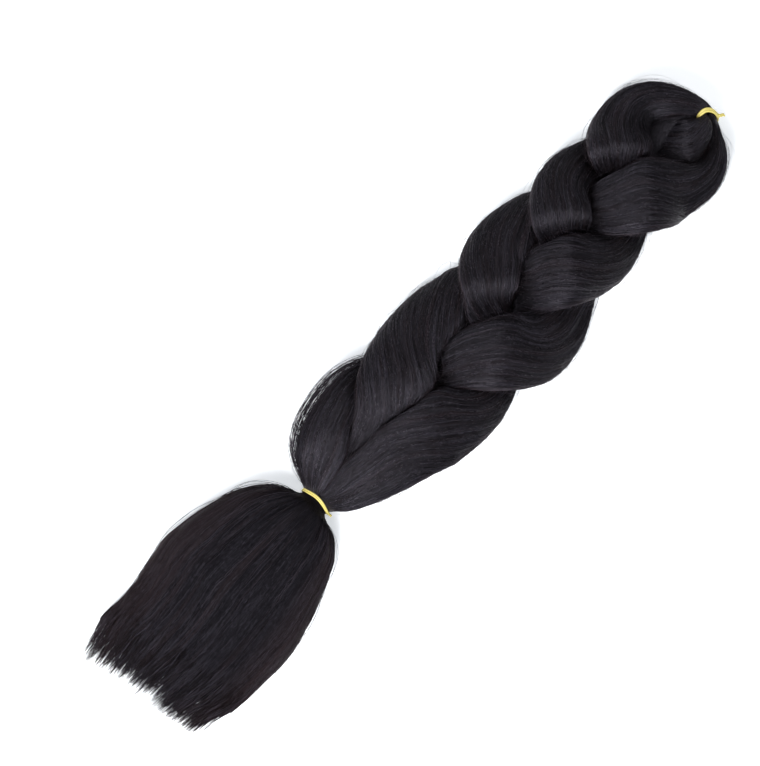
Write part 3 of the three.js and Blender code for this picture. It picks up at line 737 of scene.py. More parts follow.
def relax(points):
    """Hair on the inner side of a bend doesn't bunch up: it takes the short way.

    A point moves towards the middle of its neighbours along the strand, the more so the closer
    they are together compared with the rest of the section.
    """
    for _ in range(RELAX_PASSES):
        step = np.linalg.norm(np.diff(points, axis=0), axis=2)
        near = np.minimum(step[1:], step[:-1]) / SECTION_STEP
        bunched = 1 - smooth((near - 0.2) / 0.7)
        middle = (points[2:] + points[:-2]) / 2
        points[1:-1] += (middle - points[1:-1]) * 0.5 * np.maximum(bunched, RELAX_LEAST)[..., None]
    return points


def sink_hollow(points, unshaded, reach, depth):
    """Behind the head band the fold leaves a hollow: the upper skin sinks by a bell curve, and
    painted shade darkens it.
    """
    near = bell(away_from(HOLLOW["place"], points) / reach)
    points[..., 2] -= np.minimum(depth * near, np.maximum(points[..., 2] - HOLLOW["least"], 0))
    return unshaded * (1 - HOLLOW["shade"] * near)


def strand_skin(name):
    """The strand's fine grid: its points, normals, how exposed each is, how much painted shade it
    gets, and distances along.
    """
    own = SECTIONS[name]
    ray, free = ray_fan(own)
    others = [sections for other, sections in SECTIONS.items() if other != name]
    radius = pressed_radii(own, others, ray, free)
    bare = smooth((radius / free - BARE_FROM) / 0.2)
    eased = ease(radius)
    # 1 where the hair is free, falling towards 0 in a seam, where it gets painted shade
    unshaded = smooth((eased / free - OPEN_FROM) / (1 - OPEN_FROM))
    points = relax(lean(own["centre"][:, None] + ray * eased[..., None]))
    if name in HOLLOW["strands"]:
        unshaded = sink_hollow(points, unshaded, *HOLLOW["strands"][name])
    if name == SLACK["strand"]:
        near = bell((points[..., 0] - SLACK["place"]) / SLACK["reach"])
        points[..., 1] -= SLACK["depth"] * near * smooth((points[..., 1] - 20) / 25)
    rings, bare, unshaded = [finer_grid(a) for a in (points, bare, unshaded)]
    rings[..., 2] = np.maximum(rings[..., 2], 0)
    rings, bare, unshaded = even_rings(rings, AROUND, bare, unshaded)
    middle = rings.mean(axis=1)
    gone = np.append(0, np.cumsum(np.linalg.norm(np.diff(middle, axis=0), axis=1)))
    girth = np.linalg.norm(np.diff(rings, axis=1), axis=2).sum(1).mean()
    return {
        "points": rings, "normals": outward(rings), "bare": bare, "open": np.clip(unshaded, 0, 1),
        "gone": gone, "girth": girth, "twist": strand_twist(own, girth),
    }


SKINS = {name: strand_skin(name) for name in STRANDS}
for name, skin in SKINS.items():
    print(name, "length", round(skin["gone"][-1]), "mm, grid", skin["points"].shape[:2])

# %% [markdown]
# ## The lie of the hair
# Fibres in a strand cling together in locks, and the locks in broader waves. They could be
# combed by hand, fibre by fibre. Noise that is stretched along the strand gives the same: a value
# for each place, alike a long way along the hair and soon another across it. It closes round the
# strand, so no seam shows.

# %% Noise along the hair
DRIFT = 0.012  # how far a lock wanders round the strand, as a share of the way round


def wander(u, s, cells, seed):
    """Smooth noise from -1 to 1 on a lattice of `cells` around and along.

    Each cell corner has a random value, blended by 3 t^2 - 2 t^3 in both directions.
    """
    grid = np.random.default_rng(seed).uniform(-1, 1, (cells[0], cells[1] + 2))
    x, y = u * cells[0], np.clip(s, 0, 1) * cells[1]
    i, j = np.floor(x).astype(int), np.floor(y).astype(int)
    a, b = smooth(x - i), smooth(y - j)
    near = grid[i % cells[0], j] * (1 - b) + grid[i % cells[0], j + 1] * b
    far = grid[(i + 1) % cells[0], j] * (1 - b) + grid[(i + 1) % cells[0], j + 1] * b
    return near * (1 - a) + far * a


def twist_at(name, s):
    """How far round the strand the hair has turned at s."""
    twist = SKINS[name]["twist"]
    return np.interp(s, np.linspace(0, 1, len(twist)), twist)


def lock_at(name, u, s, seed):
    """The lock that passes through u at s: u less the hair's turning, and a small drift."""
    u = u - twist_at(name, s)
    return u + DRIFT * wander(u, s, (5, 7), seed)


# waves, locks and fine locks: millimetres of relief, and cells round and along the strand
RELIEF = ((0.6, (11, 8)), (0.45, (34, 12)), (0.4, (95, 20)))
RELIEF_SINK = 0.3  # the middle of the relief lies this far under the skin


def relief(lock, s, seed):
    """How far the hair stands out from the skin, in millimetres: the sum of three noises."""
    layers = [
        amount * wander(lock, s, cells, seed + number)
        for number, (amount, cells) in enumerate(RELIEF, start=1)
    ]
    return sum(layers) - RELIEF_SINK


# %% [markdown]
# ## The hair's finish
# Synthetic braiding hair is dull black with a soft gloss that runs across the fibres, never along
# them. The colour isn't even: single fibres and locks are a little greyer or browner, and the
# lighter streaks also stand in for glints off single fibres, as painted glints. One dark
# colour would look like plastic, and a picture would repeat itself, so the finish is worked out.
# It reads an attribute, grain, that each mesh carries: where a place lies round and along the
# strand, with the length squeezed, so that round noise becomes long streaks.

# %% Nodes for colours and values


def add_range(material, value, limits):
    """Carries a value from one range over to another, and holds it there."""
    node = add_node(material, "ShaderNodeMapRange", values=limits, links={"Value": value})
    return node.outputs[0]


def add_math(material, operation, value, number, added=None, clamp=False):
    """The value times the number plus what is added, or the value to the power of the number."""
    settings = {"operation": operation, "use_clamp": clamp}
    links = {0: value} if added is None else {0: value, 2: added}
    return add_node(material, "ShaderNodeMath", settings, {1: number}, links).outputs[0]


def add_mix(material, factor, first, second):
    """A colour between the first, which may come from a node, and the second."""
    node = add_node(material, "ShaderNodeMix", {"data_type": "RGBA"}, links={"Factor": factor})
    if isinstance(first, tuple):
        node.inputs[6].default_value = (*first, 1)
    else:
        material.node_tree.links.new(first, node.inputs[6])
    node.inputs[7].default_value = (*second, 1)
    return node.outputs[2]


# %% Hair material
GRAIN_SQUEEZE = 45.0  # streaks are this many times longer than wide
CRIMP = 1.2  # how far the streaks waver, in millimetres
CRIMP_SCALE = 240.0  # waves of the crimp in a metre
DARKEST = 0.76  # a fibre's streak and tint together, below which it is fully dark
BROWN_LOCKS = {"From Min": 0.52, "From Max": 0.78, "To Max": 0.4}
# painted glow: how far a rim that faces sideways turns brown, for light coming through thin hair
RIM_GLOW = 0.55
ROUGHER = 0.16  # how much rougher a light streak is than a dark one
# painted shade: the colour that hair in seams, in the hollow and near the bands is darkened towards
SEAM_SHADE = (0.0005, 0.0004, 0.0006)  # where light sinks in between the strands


def hair_material(name, dark, light, brown_and_glow_colour, gloss, shine, fineness, brightest):
    """Off-black hair: streaks of colour, streaks of bump and a gloss across the fibres.

    The shade goes from dark to light by (1.2 streaks + tint), stretched from DARKEST to
    brightest, to the power 1.5. It turns brown in some locks, which is the hair's own colour, and
    along the rim, where the brown is a painted glow of light through thin hair. gloss is the least
    roughness, shine the strength of the reflection, and fineness makes the streaks finer.
    """
    material = new_material(name)
    grain, tint, sunk, rim = [
        add_node(material, "ShaderNodeAttribute", {"attribute_name": key})
        for key in ("grain", "tint", "sunk", "rim")
    ]
    place = add_node(material, "ShaderNodeTexCoord")
    crimp = add_noise(material, place.outputs["Object"], CRIMP_SCALE * fineness, 1.0)
    crimped = add_node(
        material, "ShaderNodeVectorMath", {"operation": "MULTIPLY_ADD"}, {1: (CRIMP,) * 3},
        {0: crimp.outputs["Color"], 2: grain.outputs["Vector"]},
    )
    streaks = add_noise(material, crimped.outputs[0], 1.1 * fineness, 5.0, 0.8).outputs["Fac"]
    fine = add_noise(material, crimped.outputs[0], 2.6, 4.0, 0.8).outputs["Fac"]
    locks = add_noise(material, grain.outputs["Vector"], 0.3, 2.0).outputs["Fac"]
    # lighter streaks: the fibres' own tone, and in part painted glints off single fibres
    tinted = add_math(material, "MULTIPLY_ADD", streaks, 1.2, tint.outputs["Fac"])
    spread = add_range(material, tinted, {"From Min": DARKEST, "From Max": brightest})
    shade = add_mix(material, add_math(material, "POWER", spread, 1.5), dark, light)
    browner = add_range(material, locks, BROWN_LOCKS)
    # rim paints a brown glow of light through thin hair; the brown locks are the hair's own colour
    glow_and_brown_share = add_math(material, "MULTIPLY_ADD", rim.outputs["Fac"], RIM_GLOW, browner, clamp=True)
    colour = add_mix(material, glow_and_brown_share, shade, brown_and_glow_colour)
    bump = add_node(
        material, "ShaderNodeBump", values={"Strength": 0.8, "Distance": 0.0008},
        links={"Height": fine},
    )
    across = add_node(
        material, "ShaderNodeTangent", {"direction_type": "UV_MAP", "uv_map": "around_along"},
    )
    shader = add_node(
        material, "ShaderNodeBsdfPrincipled",
        values={
            "Anisotropic": 0.85, "IOR": 1.45, "Specular IOR Level": shine,
            "Specular Tint": (0.9, 0.84, 1.0, 1),
            "Sheen Weight": 0.03, "Sheen Roughness": 0.3, "Sheen Tint": (0.8, 0.5, 0.48, 1),
        },
        links={
            # sunk darkens the colour towards the painted shade of the seams
            "Base Color": add_mix(material, sunk.outputs["Fac"], colour, SEAM_SHADE),
            "Roughness": add_range(material, streaks, {"To Min": gloss, "To Max": gloss + ROUGHER}),
            "Normal": bump.outputs[0], "Tangent": across.outputs[0],
        },
    )
    return finish_material(material, shader)


strand_hair = hair_material(
    "strand_hair", dark=(0.0010, 0.0009, 0.0014), light=(0.0190, 0.0176, 0.0234),
    brown_and_glow_colour=(0.0230, 0.0136, 0.0156), gloss=0.18, shine=0.36, fineness=1.0, brightest=1.06,
)
tail_hair = hair_material(
    "tail_hair", dark=(0.0006, 0.0005, 0.0009), light=(0.0245, 0.0226, 0.0292),
    brown_and_glow_colour=(0.027, 0.0168, 0.0180), gloss=0.34, shine=0.09, fineness=1.3, brightest=0.98,
)
print("hair finishes:", strand_hair.name, tail_hair.name)

# %% [markdown]
# ## Strand bodies
# Under its outer fibres a strand is a full, dark mass of hair. It could be filled with fibres
# too, but no one would see them. So each strand gets one closed body with its locks as relief,
# and single fibres follow in a later step. Without the body one would see through between them.

# %% Closed tubes
BODY_TINT = 0.2  # a body is as light as its darker fibres


def on_grid(grid, s, u):
    """Values of a closed grid at any s and u, straight lines between its points."""
    x, y = np.clip(s, 0, 1) * (len(grid) - 1), (u % 1.0) * grid.shape[1]
    i = np.minimum(np.floor(x).astype(int), len(grid) - 2)
    j = np.floor(y).astype(int) % grid.shape[1]
    a, b = x - i, y - np.floor(y)
    if grid.ndim == 3:
        a, b = a[..., None], b[..., None]
    k = (j + 1) % grid.shape[1]
    here = grid[i, j] * (1 - b) + grid[i, k] * b
    return here * (1 - a) + (grid[i + 1, j] * (1 - b) + grid[i + 1, k] * b) * a


def grain_at(u, s, length, girth):
    """Where a place lies round and along the hair, squeezed along it, in millimetres."""
    turn = 2 * np.pi * u
    radius = girth / (2 * np.pi)
    along = s * length / GRAIN_SQUEEZE
    return np.stack([np.cos(turn) * radius, np.sin(turn) * radius, along], axis=-1)


def closed_tube_faces(steps, around):
    """Quads between the rings, a fan at each end, and the corners' places round and along."""
    i, k = np.meshgrid(np.arange(steps - 1), np.arange(around), indexing="ij")
    n = (k + 1) % around
    here, next_ring = i * around, (i + 1) * around
    quads = np.stack([here + n, here + k, next_ring + k, next_ring + n], axis=-1)
    u = np.stack([k + 1, k, k, k + 1], axis=-1) / around
    s = np.stack([i, i, i + 1, i + 1], axis=-1) / (steps - 1)
    ring = np.arange(around)
    after = (ring + 1) % around
    base = (steps - 1) * around
    first, last = np.full(around, steps * around), np.full(around, steps * around + 1)
    fans = np.concatenate([
        np.stack([first, ring, after], axis=1), np.stack([last, base + after, base + ring], axis=1),
    ])
    fan_u = np.concatenate([
        np.stack([ring + 0.5, ring, ring + 1], axis=1),
        np.stack([ring + 0.5, ring + 1, ring], axis=1),
    ]) / around
    fan_s = np.repeat([0.0, 1.0], 3 * around)
    uv = np.stack([
        np.append(u.reshape(-1), fan_u.reshape(-1)), np.append(s.reshape(-1), fan_s),
    ], axis=1)
    return quads.reshape(-1, 4), fans, uv


def with_ends(rings):
    """All points of the rings in a row, then the middle of the first ring and of the last."""
    middles = [rings[0].mean(0)[None], rings[-1].mean(0)[None]]
    return np.concatenate([rings.reshape(-1, 3), *middles])


def hair_values(grain, tint, unshaded, rim):
    """The finish's attributes: sunk is the painted shade, 1 in a seam, and rim the painted glow, 1
    along the hair's outer edge.
    """
    return {"grain": grain, "tint": tint, "sunk": 0.9 * (1 - smooth(unshaded)), "rim": rim * unshaded}


def hair_body(name, rings, material, grain, unshaded, rim):
    """A closed tube through rings of points, with the attributes that a hair finish reads."""
    steps, around = rings.shape[:2]
    each = [grain.reshape(-1, 3)]
    each += [np.broadcast_to(a, (steps, around)).reshape(-1) for a in (BODY_TINT, unshaded, rim)]
    values = hair_values(*[np.concatenate([a, a[:1], a[-1:]]) for a in each])
    quads, fans, uv = closed_tube_faces(steps, around)
    return new_piece(name, with_ends(rings), quads, fans, material, uv, values)


# %% Strand bodies
BODY_STEPS = 195
BODY_AROUND = 200
COVERED_RELIEF = 0.3  # share of the relief that is left where a strand is covered
STRAND_SEEDS = {"strand_a": 110, "strand_b": 220, "strand_c": 330}


def rim_glow_of(normals):
    """How far a strand's skin faces sideways, 0 to 1, for the painted glow of light through thin
    hair at its rims.
    """
    return smooth((0.7 - normals[..., 2]) / 0.8)


def band_calm(points):
    """0 in a band and 1 well away from both, so that relief dies away where hair is gathered."""
    away = np.minimum(*[away_from(neck["centre"], points) for neck in NECKS])
    return smooth((away - 3) / 25)


def strand_body(name, seed):
    """The strand's closed body: its skin, moved along its normals by the relief."""
    skin = SKINS[name]
    around = np.arange(BODY_AROUND) / BODY_AROUND
    s, u = np.meshgrid(np.linspace(0, 1, BODY_STEPS), around, indexing="ij")
    points, normals, bare, unshaded = [
        on_grid(skin[key], s, u) for key in ("points", "normals", "bare", "open")
    ]
    lock = lock_at(name, u, s, seed)
    shown = COVERED_RELIEF + (1 - COVERED_RELIEF) * bare
    lift = relief(lock, s, seed) * band_calm(points) * shown
    points = points + normals * lift[..., None]
    points[..., 2] = np.maximum(points[..., 2], 0)
    grain = grain_at(lock, s, skin["gone"][-1], skin["girth"])
    piece = hair_body(name + "_body", points, strand_hair, grain, unshaded, rim_glow_of(normals))
    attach(piece, "root")
    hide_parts(name)


for name, seed in STRAND_SEEDS.items():
    strand_body(name, seed)

# %% [markdown]
# ## The hair inside the plait
# Three strands leave a little room between them, and in a real plait loose hair fills it. It is
# hardly seen, but left empty it would let light through the seams. A plain oval tube, hidden and
# painted dark with the seams' shade, is enough.

# %% The hair inside the plait
# Each row: along, across, height, half width and half thickness, in millimetres.
CORE_ROWS = np.array([
    (14, 0, 13, 7, 6), (48, 0, 15, 15, 9), (120, 0, 15, 21, 9), (240, 0, 15, 21, 9),
    (350, 0, 14, 20, 8), (378, 1, 15, 13, 7), (394, -2, 17, 6, 5),
], float)
CORE_STEP = 6.0
CORE_AROUND = 48
CORE_GIRTH = 90.0
# low, so the hidden core gets most of the painted shade of a seam
CORE_UNSHADED = 0.2


def plait_core():
    """An oval tube through the rows: at the angle a, y - wide cos a and z + thick sin a."""
    rows = flow(CORE_ROWS, CORE_STEP)
    # its way is +X and a strand's is -X, so its rings turn the other way round
    turn = 2 * np.pi * np.arange(CORE_AROUND) / CORE_AROUND
    x, y, z, wide, thick = [rows[:, k:k + 1] for k in range(5)]
    rings = np.stack([x + 0 * turn, y - wide * np.cos(turn), z + thick * np.sin(turn)], axis=2)
    u, s = np.meshgrid(np.arange(CORE_AROUND) / CORE_AROUND, np.linspace(0, 1, len(rows)))
    grain = grain_at(u, s, PLAIT_LENGTH, CORE_GIRTH)
    piece = hair_body("plait_core", rings, strand_hair, grain, CORE_UNSHADED, 0.0)
    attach(piece, "root")


plait_core()

# %% [markdown]
# ## Fibres on the strands
# Real hair is thousands of fibres. What the eye sees from a metre away are the outer ones, which
# lie on the body in slightly different directions and heights. Bump alone would show them only
# from above, so each is a thin tube of three sides that follows the skin at its own u and dips
# under it at both ends. All tubes of a piece are one array of points: fibre by fibre, step by
# step, and side by side.

# %% Tubes for many fibres
SIDES = 3
TABLE_CLEARANCE = 0.05  # millimetres between the table and the lowest hair


def fibre_mesh(name, paths, up, radius, material, grain, tint, unshaded, rim):
    """One closed tapering tube for each path, all in one mesh.

    paths, up and grain are (fibres, steps, 3) and radius is (fibres, steps). A ring's points are
    path + radius (cos a up + sin a side), with side square to the path and to up.
    """
    fibres, steps = radius.shape
    along = unit(np.gradient(paths, axis=1))
    side = unit(np.cross(along, up))
    up = np.cross(side, along)
    turn = 2 * np.pi * np.arange(SIDES) / SIDES + np.pi / 2
    ring = np.cos(turn)[:, None] * side[:, :, None] + np.sin(turn)[:, None] * up[:, :, None]
    points = paths[:, :, None] + ring * radius[:, :, None, None]
    points[..., 2] = np.maximum(points[..., 2], TABLE_CLEARANCE)
    f, i, k = np.meshgrid(np.arange(fibres), np.arange(steps - 1), np.arange(SIDES), indexing="ij")
    n = (k + 1) % SIDES
    at = (f * steps + i) * SIDES
    quads = np.stack([at + n, at + k, at + SIDES + k, at + SIDES + n], axis=-1).reshape(-1, 4)
    u = np.stack([k + 1, k, k, k + 1], axis=-1) / SIDES
    v = np.stack([i, i, i + 1, i + 1], axis=-1) / (steps - 1)
    first = np.arange(fibres) * steps * SIDES
    last = first + (steps - 1) * SIDES
    tris = np.concatenate([
        np.stack([first, first + 1, first + 2], axis=1),
        np.stack([last + 2, last + 1, last], axis=1),
    ])
    tri_uv = np.concatenate([
        np.tile([[0, 0], [0.4, 0], [0.8, 0]], (fibres, 1)),
        np.tile([[0.8, 1], [0.4, 1], [0, 1]], (fibres, 1)),
    ])
    uv = np.concatenate([np.stack([u.reshape(-1), v.reshape(-1)], axis=1), tri_uv])
    spread = lambda a: np.repeat(a.reshape(fibres * steps, -1), SIDES, axis=0)
    each = [spread(np.broadcast_to(a, (fibres, steps)))[:, 0] for a in (tint, unshaded, rim)]
    values = hair_values(spread(grain), *each)
    return new_piece(name, points.reshape(-1, 3), quads, tris, material, uv, values)


def on_skin(skin, s, u):
    """The places on a skin at s and u, and the unit normals there."""
    return on_grid(skin["points"], s, u), unit(on_grid(skin["normals"], s, u))


def dip(t, share=0.12):
    """1 at a fibre's end and 0 from that share of its length on: it dips under the skin."""
    return 1 - smooth(t / share)


# %% Fibres of a strand
STRAND_FIBRES = 1300
FIBRE_STEPS = 18
FIBRE_REACH = (35.0, 120.0)  # shortest and longest fibre that shows
FIBRE_RADIUS = (0.12, 0.32)
FIBRE_LIFT = (-0.1, 0.5)
FIBRE_DIP = 1.4
FIBRE_SLIP = 0.024  # how far a fibre slants across its lock, as a share of the way round
FIBRE_CRIMP = 0.0036
FIBRE_TINT = 0.75  # of the lightest fibre


def strand_fibres(name, seed):
    """Fibres along a strand, each in its own lock, most of them where the strand isn't covered."""
    rng = np.random.default_rng(seed + 7)
    skin = SKINS[name]
    length = skin["gone"][-1]
    tries, count = STRAND_FIBRES * 4, (STRAND_FIBRES, 1)
    reach = rng.uniform(*FIBRE_REACH, tries) / length
    start = rng.uniform(-0.03, 1.0, tries) - reach * 0.25
    middle = np.clip(start + reach / 2, 0, 1)
    u0 = rng.uniform(0, 1, tries)
    # the fibres that are kept lie where the strand is bare and faces up
    seen = on_grid(skin["bare"], middle, u0) + rng.uniform(0, 0.6, tries)
    seen = seen + 0.7 * smooth((on_grid(skin["normals"], middle, u0)[:, 2] + 0.5) / 0.5)
    keep = np.argsort(-seen)[:STRAND_FIBRES, None]
    lock0 = lock_at(name, u0, middle, seed)[keep]
    first, last = np.clip(start[keep], 0.004, 1), np.clip(start[keep] + reach[keep], 0, 0.996)
    t = np.linspace(0, 1, FIBRE_STEPS)[None]
    s = first + (last - first) * t
    # each follows its lock, a little aslant and crimped
    slip = rng.normal(0, FIBRE_SLIP, count) * (t - 0.5)
    crimp = FIBRE_CRIMP * wander(lock0 * 7.3 % 1 + 0 * t, s, (60, 90), seed + 9)
    lock = lock0 + slip + crimp
    u = lock + twist_at(name, s) - DRIFT * wander(lock, s, (5, 7), seed)
    points, normals = on_skin(skin, s, u)
    shown = COVERED_RELIEF + (1 - COVERED_RELIEF) * on_grid(skin["bare"], s, u)
    lift = relief(lock, s, seed) * shown + rng.uniform(*FIBRE_LIFT, count)
    lift = lift + 0.2 * wander(lock0 + 0 * t, s, (300, 40), seed + 8)
    lift = lift * band_calm(points) - FIBRE_DIP * dip(t) - FIBRE_DIP * dip(1 - t)
    radius = rng.uniform(*FIBRE_RADIUS, count) * (0.55 + 0.45 * np.sin(np.pi * t))
    tint = rng.beta(1.0, 2.4, count) * FIBRE_TINT
    tint = tint + 0.45 * np.maximum(wander(lock, s, (80, 16), seed + 10), 0)
    piece = fibre_mesh(
        name + "_fibres", points + normals * lift[..., None], normals, radius, strand_hair,
        grain_at(lock, s, length, skin["girth"]), tint, on_grid(skin["open"], s, u),
        rim_glow_of(normals),
    )
    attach(piece, "root")
    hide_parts(name)


for name, seed in STRAND_SEEDS.items():
    strand_fibres(name, seed)

# %% [markdown]
# ## The loose tail
# Past the second band the hair is loose. It fans out, lies flat on the table and ends in a
# ragged slanted cut. Fibres alone could make it, but it would take tens of thousands to fill it.
# So a closed body carries the mass up to where the locks begin, and fibres on it and in it go on
# to the cut. Its section is a superellipse whose sizes follow a few rows read along the tail.

# %% Shape of the tail
TAIL_LENGTH = 195.0
TAIL_WIDTH = 128.0
TAIL_HEIGHT = 35.0
TAIL_SLANT = 0.055  # the tail is longer by this share at its +Y edge, and shorter at the other
# along, left, right, low, high, as shares of the tail's length, half width and height
TAIL_ROWS = np.array([
    (0.045, 0.42, 0.4, 0.1, 0.86), (0.09, 0.6, 0.56, 0.02, 0.95), (0.16, 0.75, 0.69, 0, 1),
    (0.24, 0.84, 0.79, 0, 1), (0.38, 0.95, 0.93, 0, 0.96), (0.46, 0.975, 0.98, 0, 0.91),
    (0.55, 0.92, 1.0, 0, 0.84), (0.66, 0.87, 1.02, 0, 0.75), (0.76, 0.87, 1.03, 0, 0.66),
    (0.85, 0.85, 1.0, 0, 0.55), (0.89, 0.82, 0.96, 0, 0.48), (1.0, 0.78, 0.92, 0, 0.26),
])
TAIL_STEPS = 160
TAIL_AROUND = 240


def tail_skin():
    """The tail's fine grid from the band to the cut: a superellipse carried along its rows."""
    neck = TAIL_NECK
    along, left, right, low, high = TAIL_ROWS.T
    half = TAIL_WIDTH / 2
    rows = np.stack([
        -along * TAIL_LENGTH, (left - right) / 2 * half, (low + high) / 2 * TAIL_HEIGHT,
        (left + right) / 2 * half, (high - low) / 2 * TAIL_HEIGHT, np.full(len(along), PRESS),
    ], axis=1)
    seats = np.array([
        [-away, neck["centre"][1], neck["centre"][2], neck["wide"], neck["thick"], 2.0]
        for away in (MEETING_GAP / 2, BAND_EDGE)
    ])
    rows = flow(np.vstack([seats, rows]), TAIL_LENGTH / TAIL_STEPS)
    turn = 2 * np.pi * np.arange(TAIL_AROUND * 2) / (TAIL_AROUND * 2) - np.pi / 2
    cos, sin = np.cos(turn), np.sin(turn)
    x, y, z, wide, thick, press = [rows[:, k:k + 1] for k in range(6)]
    size = (np.abs(cos) ** press + np.abs(sin) ** press) ** (-1 / press)
    ring_y = y + cos * wide * size
    ring_z = np.maximum(0, z + sin * thick * size)
    ring_x = x * (1 + TAIL_SLANT * ring_y / half)
    rings = lean(np.stack([ring_x + 0 * ring_y, ring_y, ring_z], axis=2))
    (rings,) = even_rings(rings, TAIL_AROUND)
    return {"points": rings, "normals": outward(rings), "middle": rings.mean(axis=1)}


TAIL = tail_skin()
print("tail grid:", TAIL["points"].shape[:2])
for name, skin in (("tail", TAIL), ("strand_a", SKINS["strand_a"])):
    steps, around = skin["points"].shape[:2]
    up = skin["normals"][steps // 2, around // 2, 2]
    print(name, "normal on its upper side points up by", round(float(up), 2))

# %% Tail body
TAIL_BODY = 0.85  # share of the tail's length that the body reaches
TAIL_BODY_STEPS = 110
TAIL_BODY_AROUND = 260
TAIL_GIRTH = 260.0


def tail_middle(s):
    """The middle of the tail's section at s."""
    return on_grid(TAIL["middle"][:, None], s, 0 * s)


def tail_unshaded(points):
    """Near the band the tail's hair is gathered and gets painted shade; farther out it gets none.
    """
    return 0.35 + 0.65 * smooth(away_from(TAIL_NECK["centre"], points) / 45)


def tail_rim_glow(u):
    """How near a place round the tail is to its left or right edge, 0 to 0.5, for the painted glow
    of light through thin hair there.
    """
    return 0.5 * smooth((np.abs(np.sin(2 * np.pi * u)) - 0.72) / 0.28)


def tail_relief(u, s):
    """How far the tail's hair stands out: broad waves, locks, and fine locks that deepen."""
    lock = u + 0.01 * wander(u, s, (7, 4), 61)
    deepen = 0.6 + 0.9 * smooth(s)
    broad = 0.8 * wander(lock, s, (15, 4), 62) + 0.8 * wander(lock, s, (44, 7), 63)
    return broad * deepen + 0.45 * wander(lock, s, (130, 16), 64) - 0.9


def tail_body():
    """The tail's closed body, whose end closes to an uneven edge inside the loose locks."""
    t = np.linspace(0, 1, TAIL_BODY_STEPS)[:, None]
    u = np.arange(TAIL_BODY_AROUND)[None] / TAIL_BODY_AROUND + 0 * t
    uneven = 1 + 0.035 * wander(u, 0 * u, (70, 1), 65) + 0.02 * wander(u, 0 * u, (24, 1), 66)
    # the body stops a little earlier at its two sides, and its end closes over the last part
    side = np.abs(np.sin(2 * np.pi * u)) ** 6
    s = t * TAIL_BODY * (uneven - 0.035 * side)
    points, normals = on_grid(TAIL["points"], s, u), on_grid(TAIL["normals"], s, u)
    points = points + normals * (tail_relief(u, s) * band_calm(points))[..., None]
    close = (1 - smooth((t - 0.86) / 0.14)) * 0.75 + 0.25
    low = tail_middle(s)[..., 2] * 0.8
    points[..., 2] = np.maximum(low + (points[..., 2] - low) * close, 0)
    grain = grain_at(u, s, TAIL_LENGTH, TAIL_GIRTH)
    piece = hair_body("tail_body", points, tail_hair, grain, tail_unshaded(points), tail_rim_glow(u))
    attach(piece, "root")
    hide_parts("tail")


tail_body()

# %% [markdown]
# ## Fibres of the tail
# The tail's fibres part a little and cling together towards the cut, in locks with the table
# showing between them. Straight fibres on the body would look combed and wet, so each one belongs
# to a lock and is drawn to its middle on the way. Half of them end early, as cut hair does.

# %% Tail fibres
TAIL_FIBRES = 1800
TAIL_FIBRE_STEPS = 16
TAIL_FIBRE_RADIUS = (0.1, 0.27)
TAIL_FIBRE_DIP = 1.5
TAIL_LOCKS = 170
UPPER = (0.2, 0.8)  # u on the upper side; the underside lies on the table


def tail_tint(own, u, s):
    """A fibre's own tint, and a lighter one in some locks."""
    return own + 0.5 * np.maximum(wander(u, s, (190, 14), 74), 0)


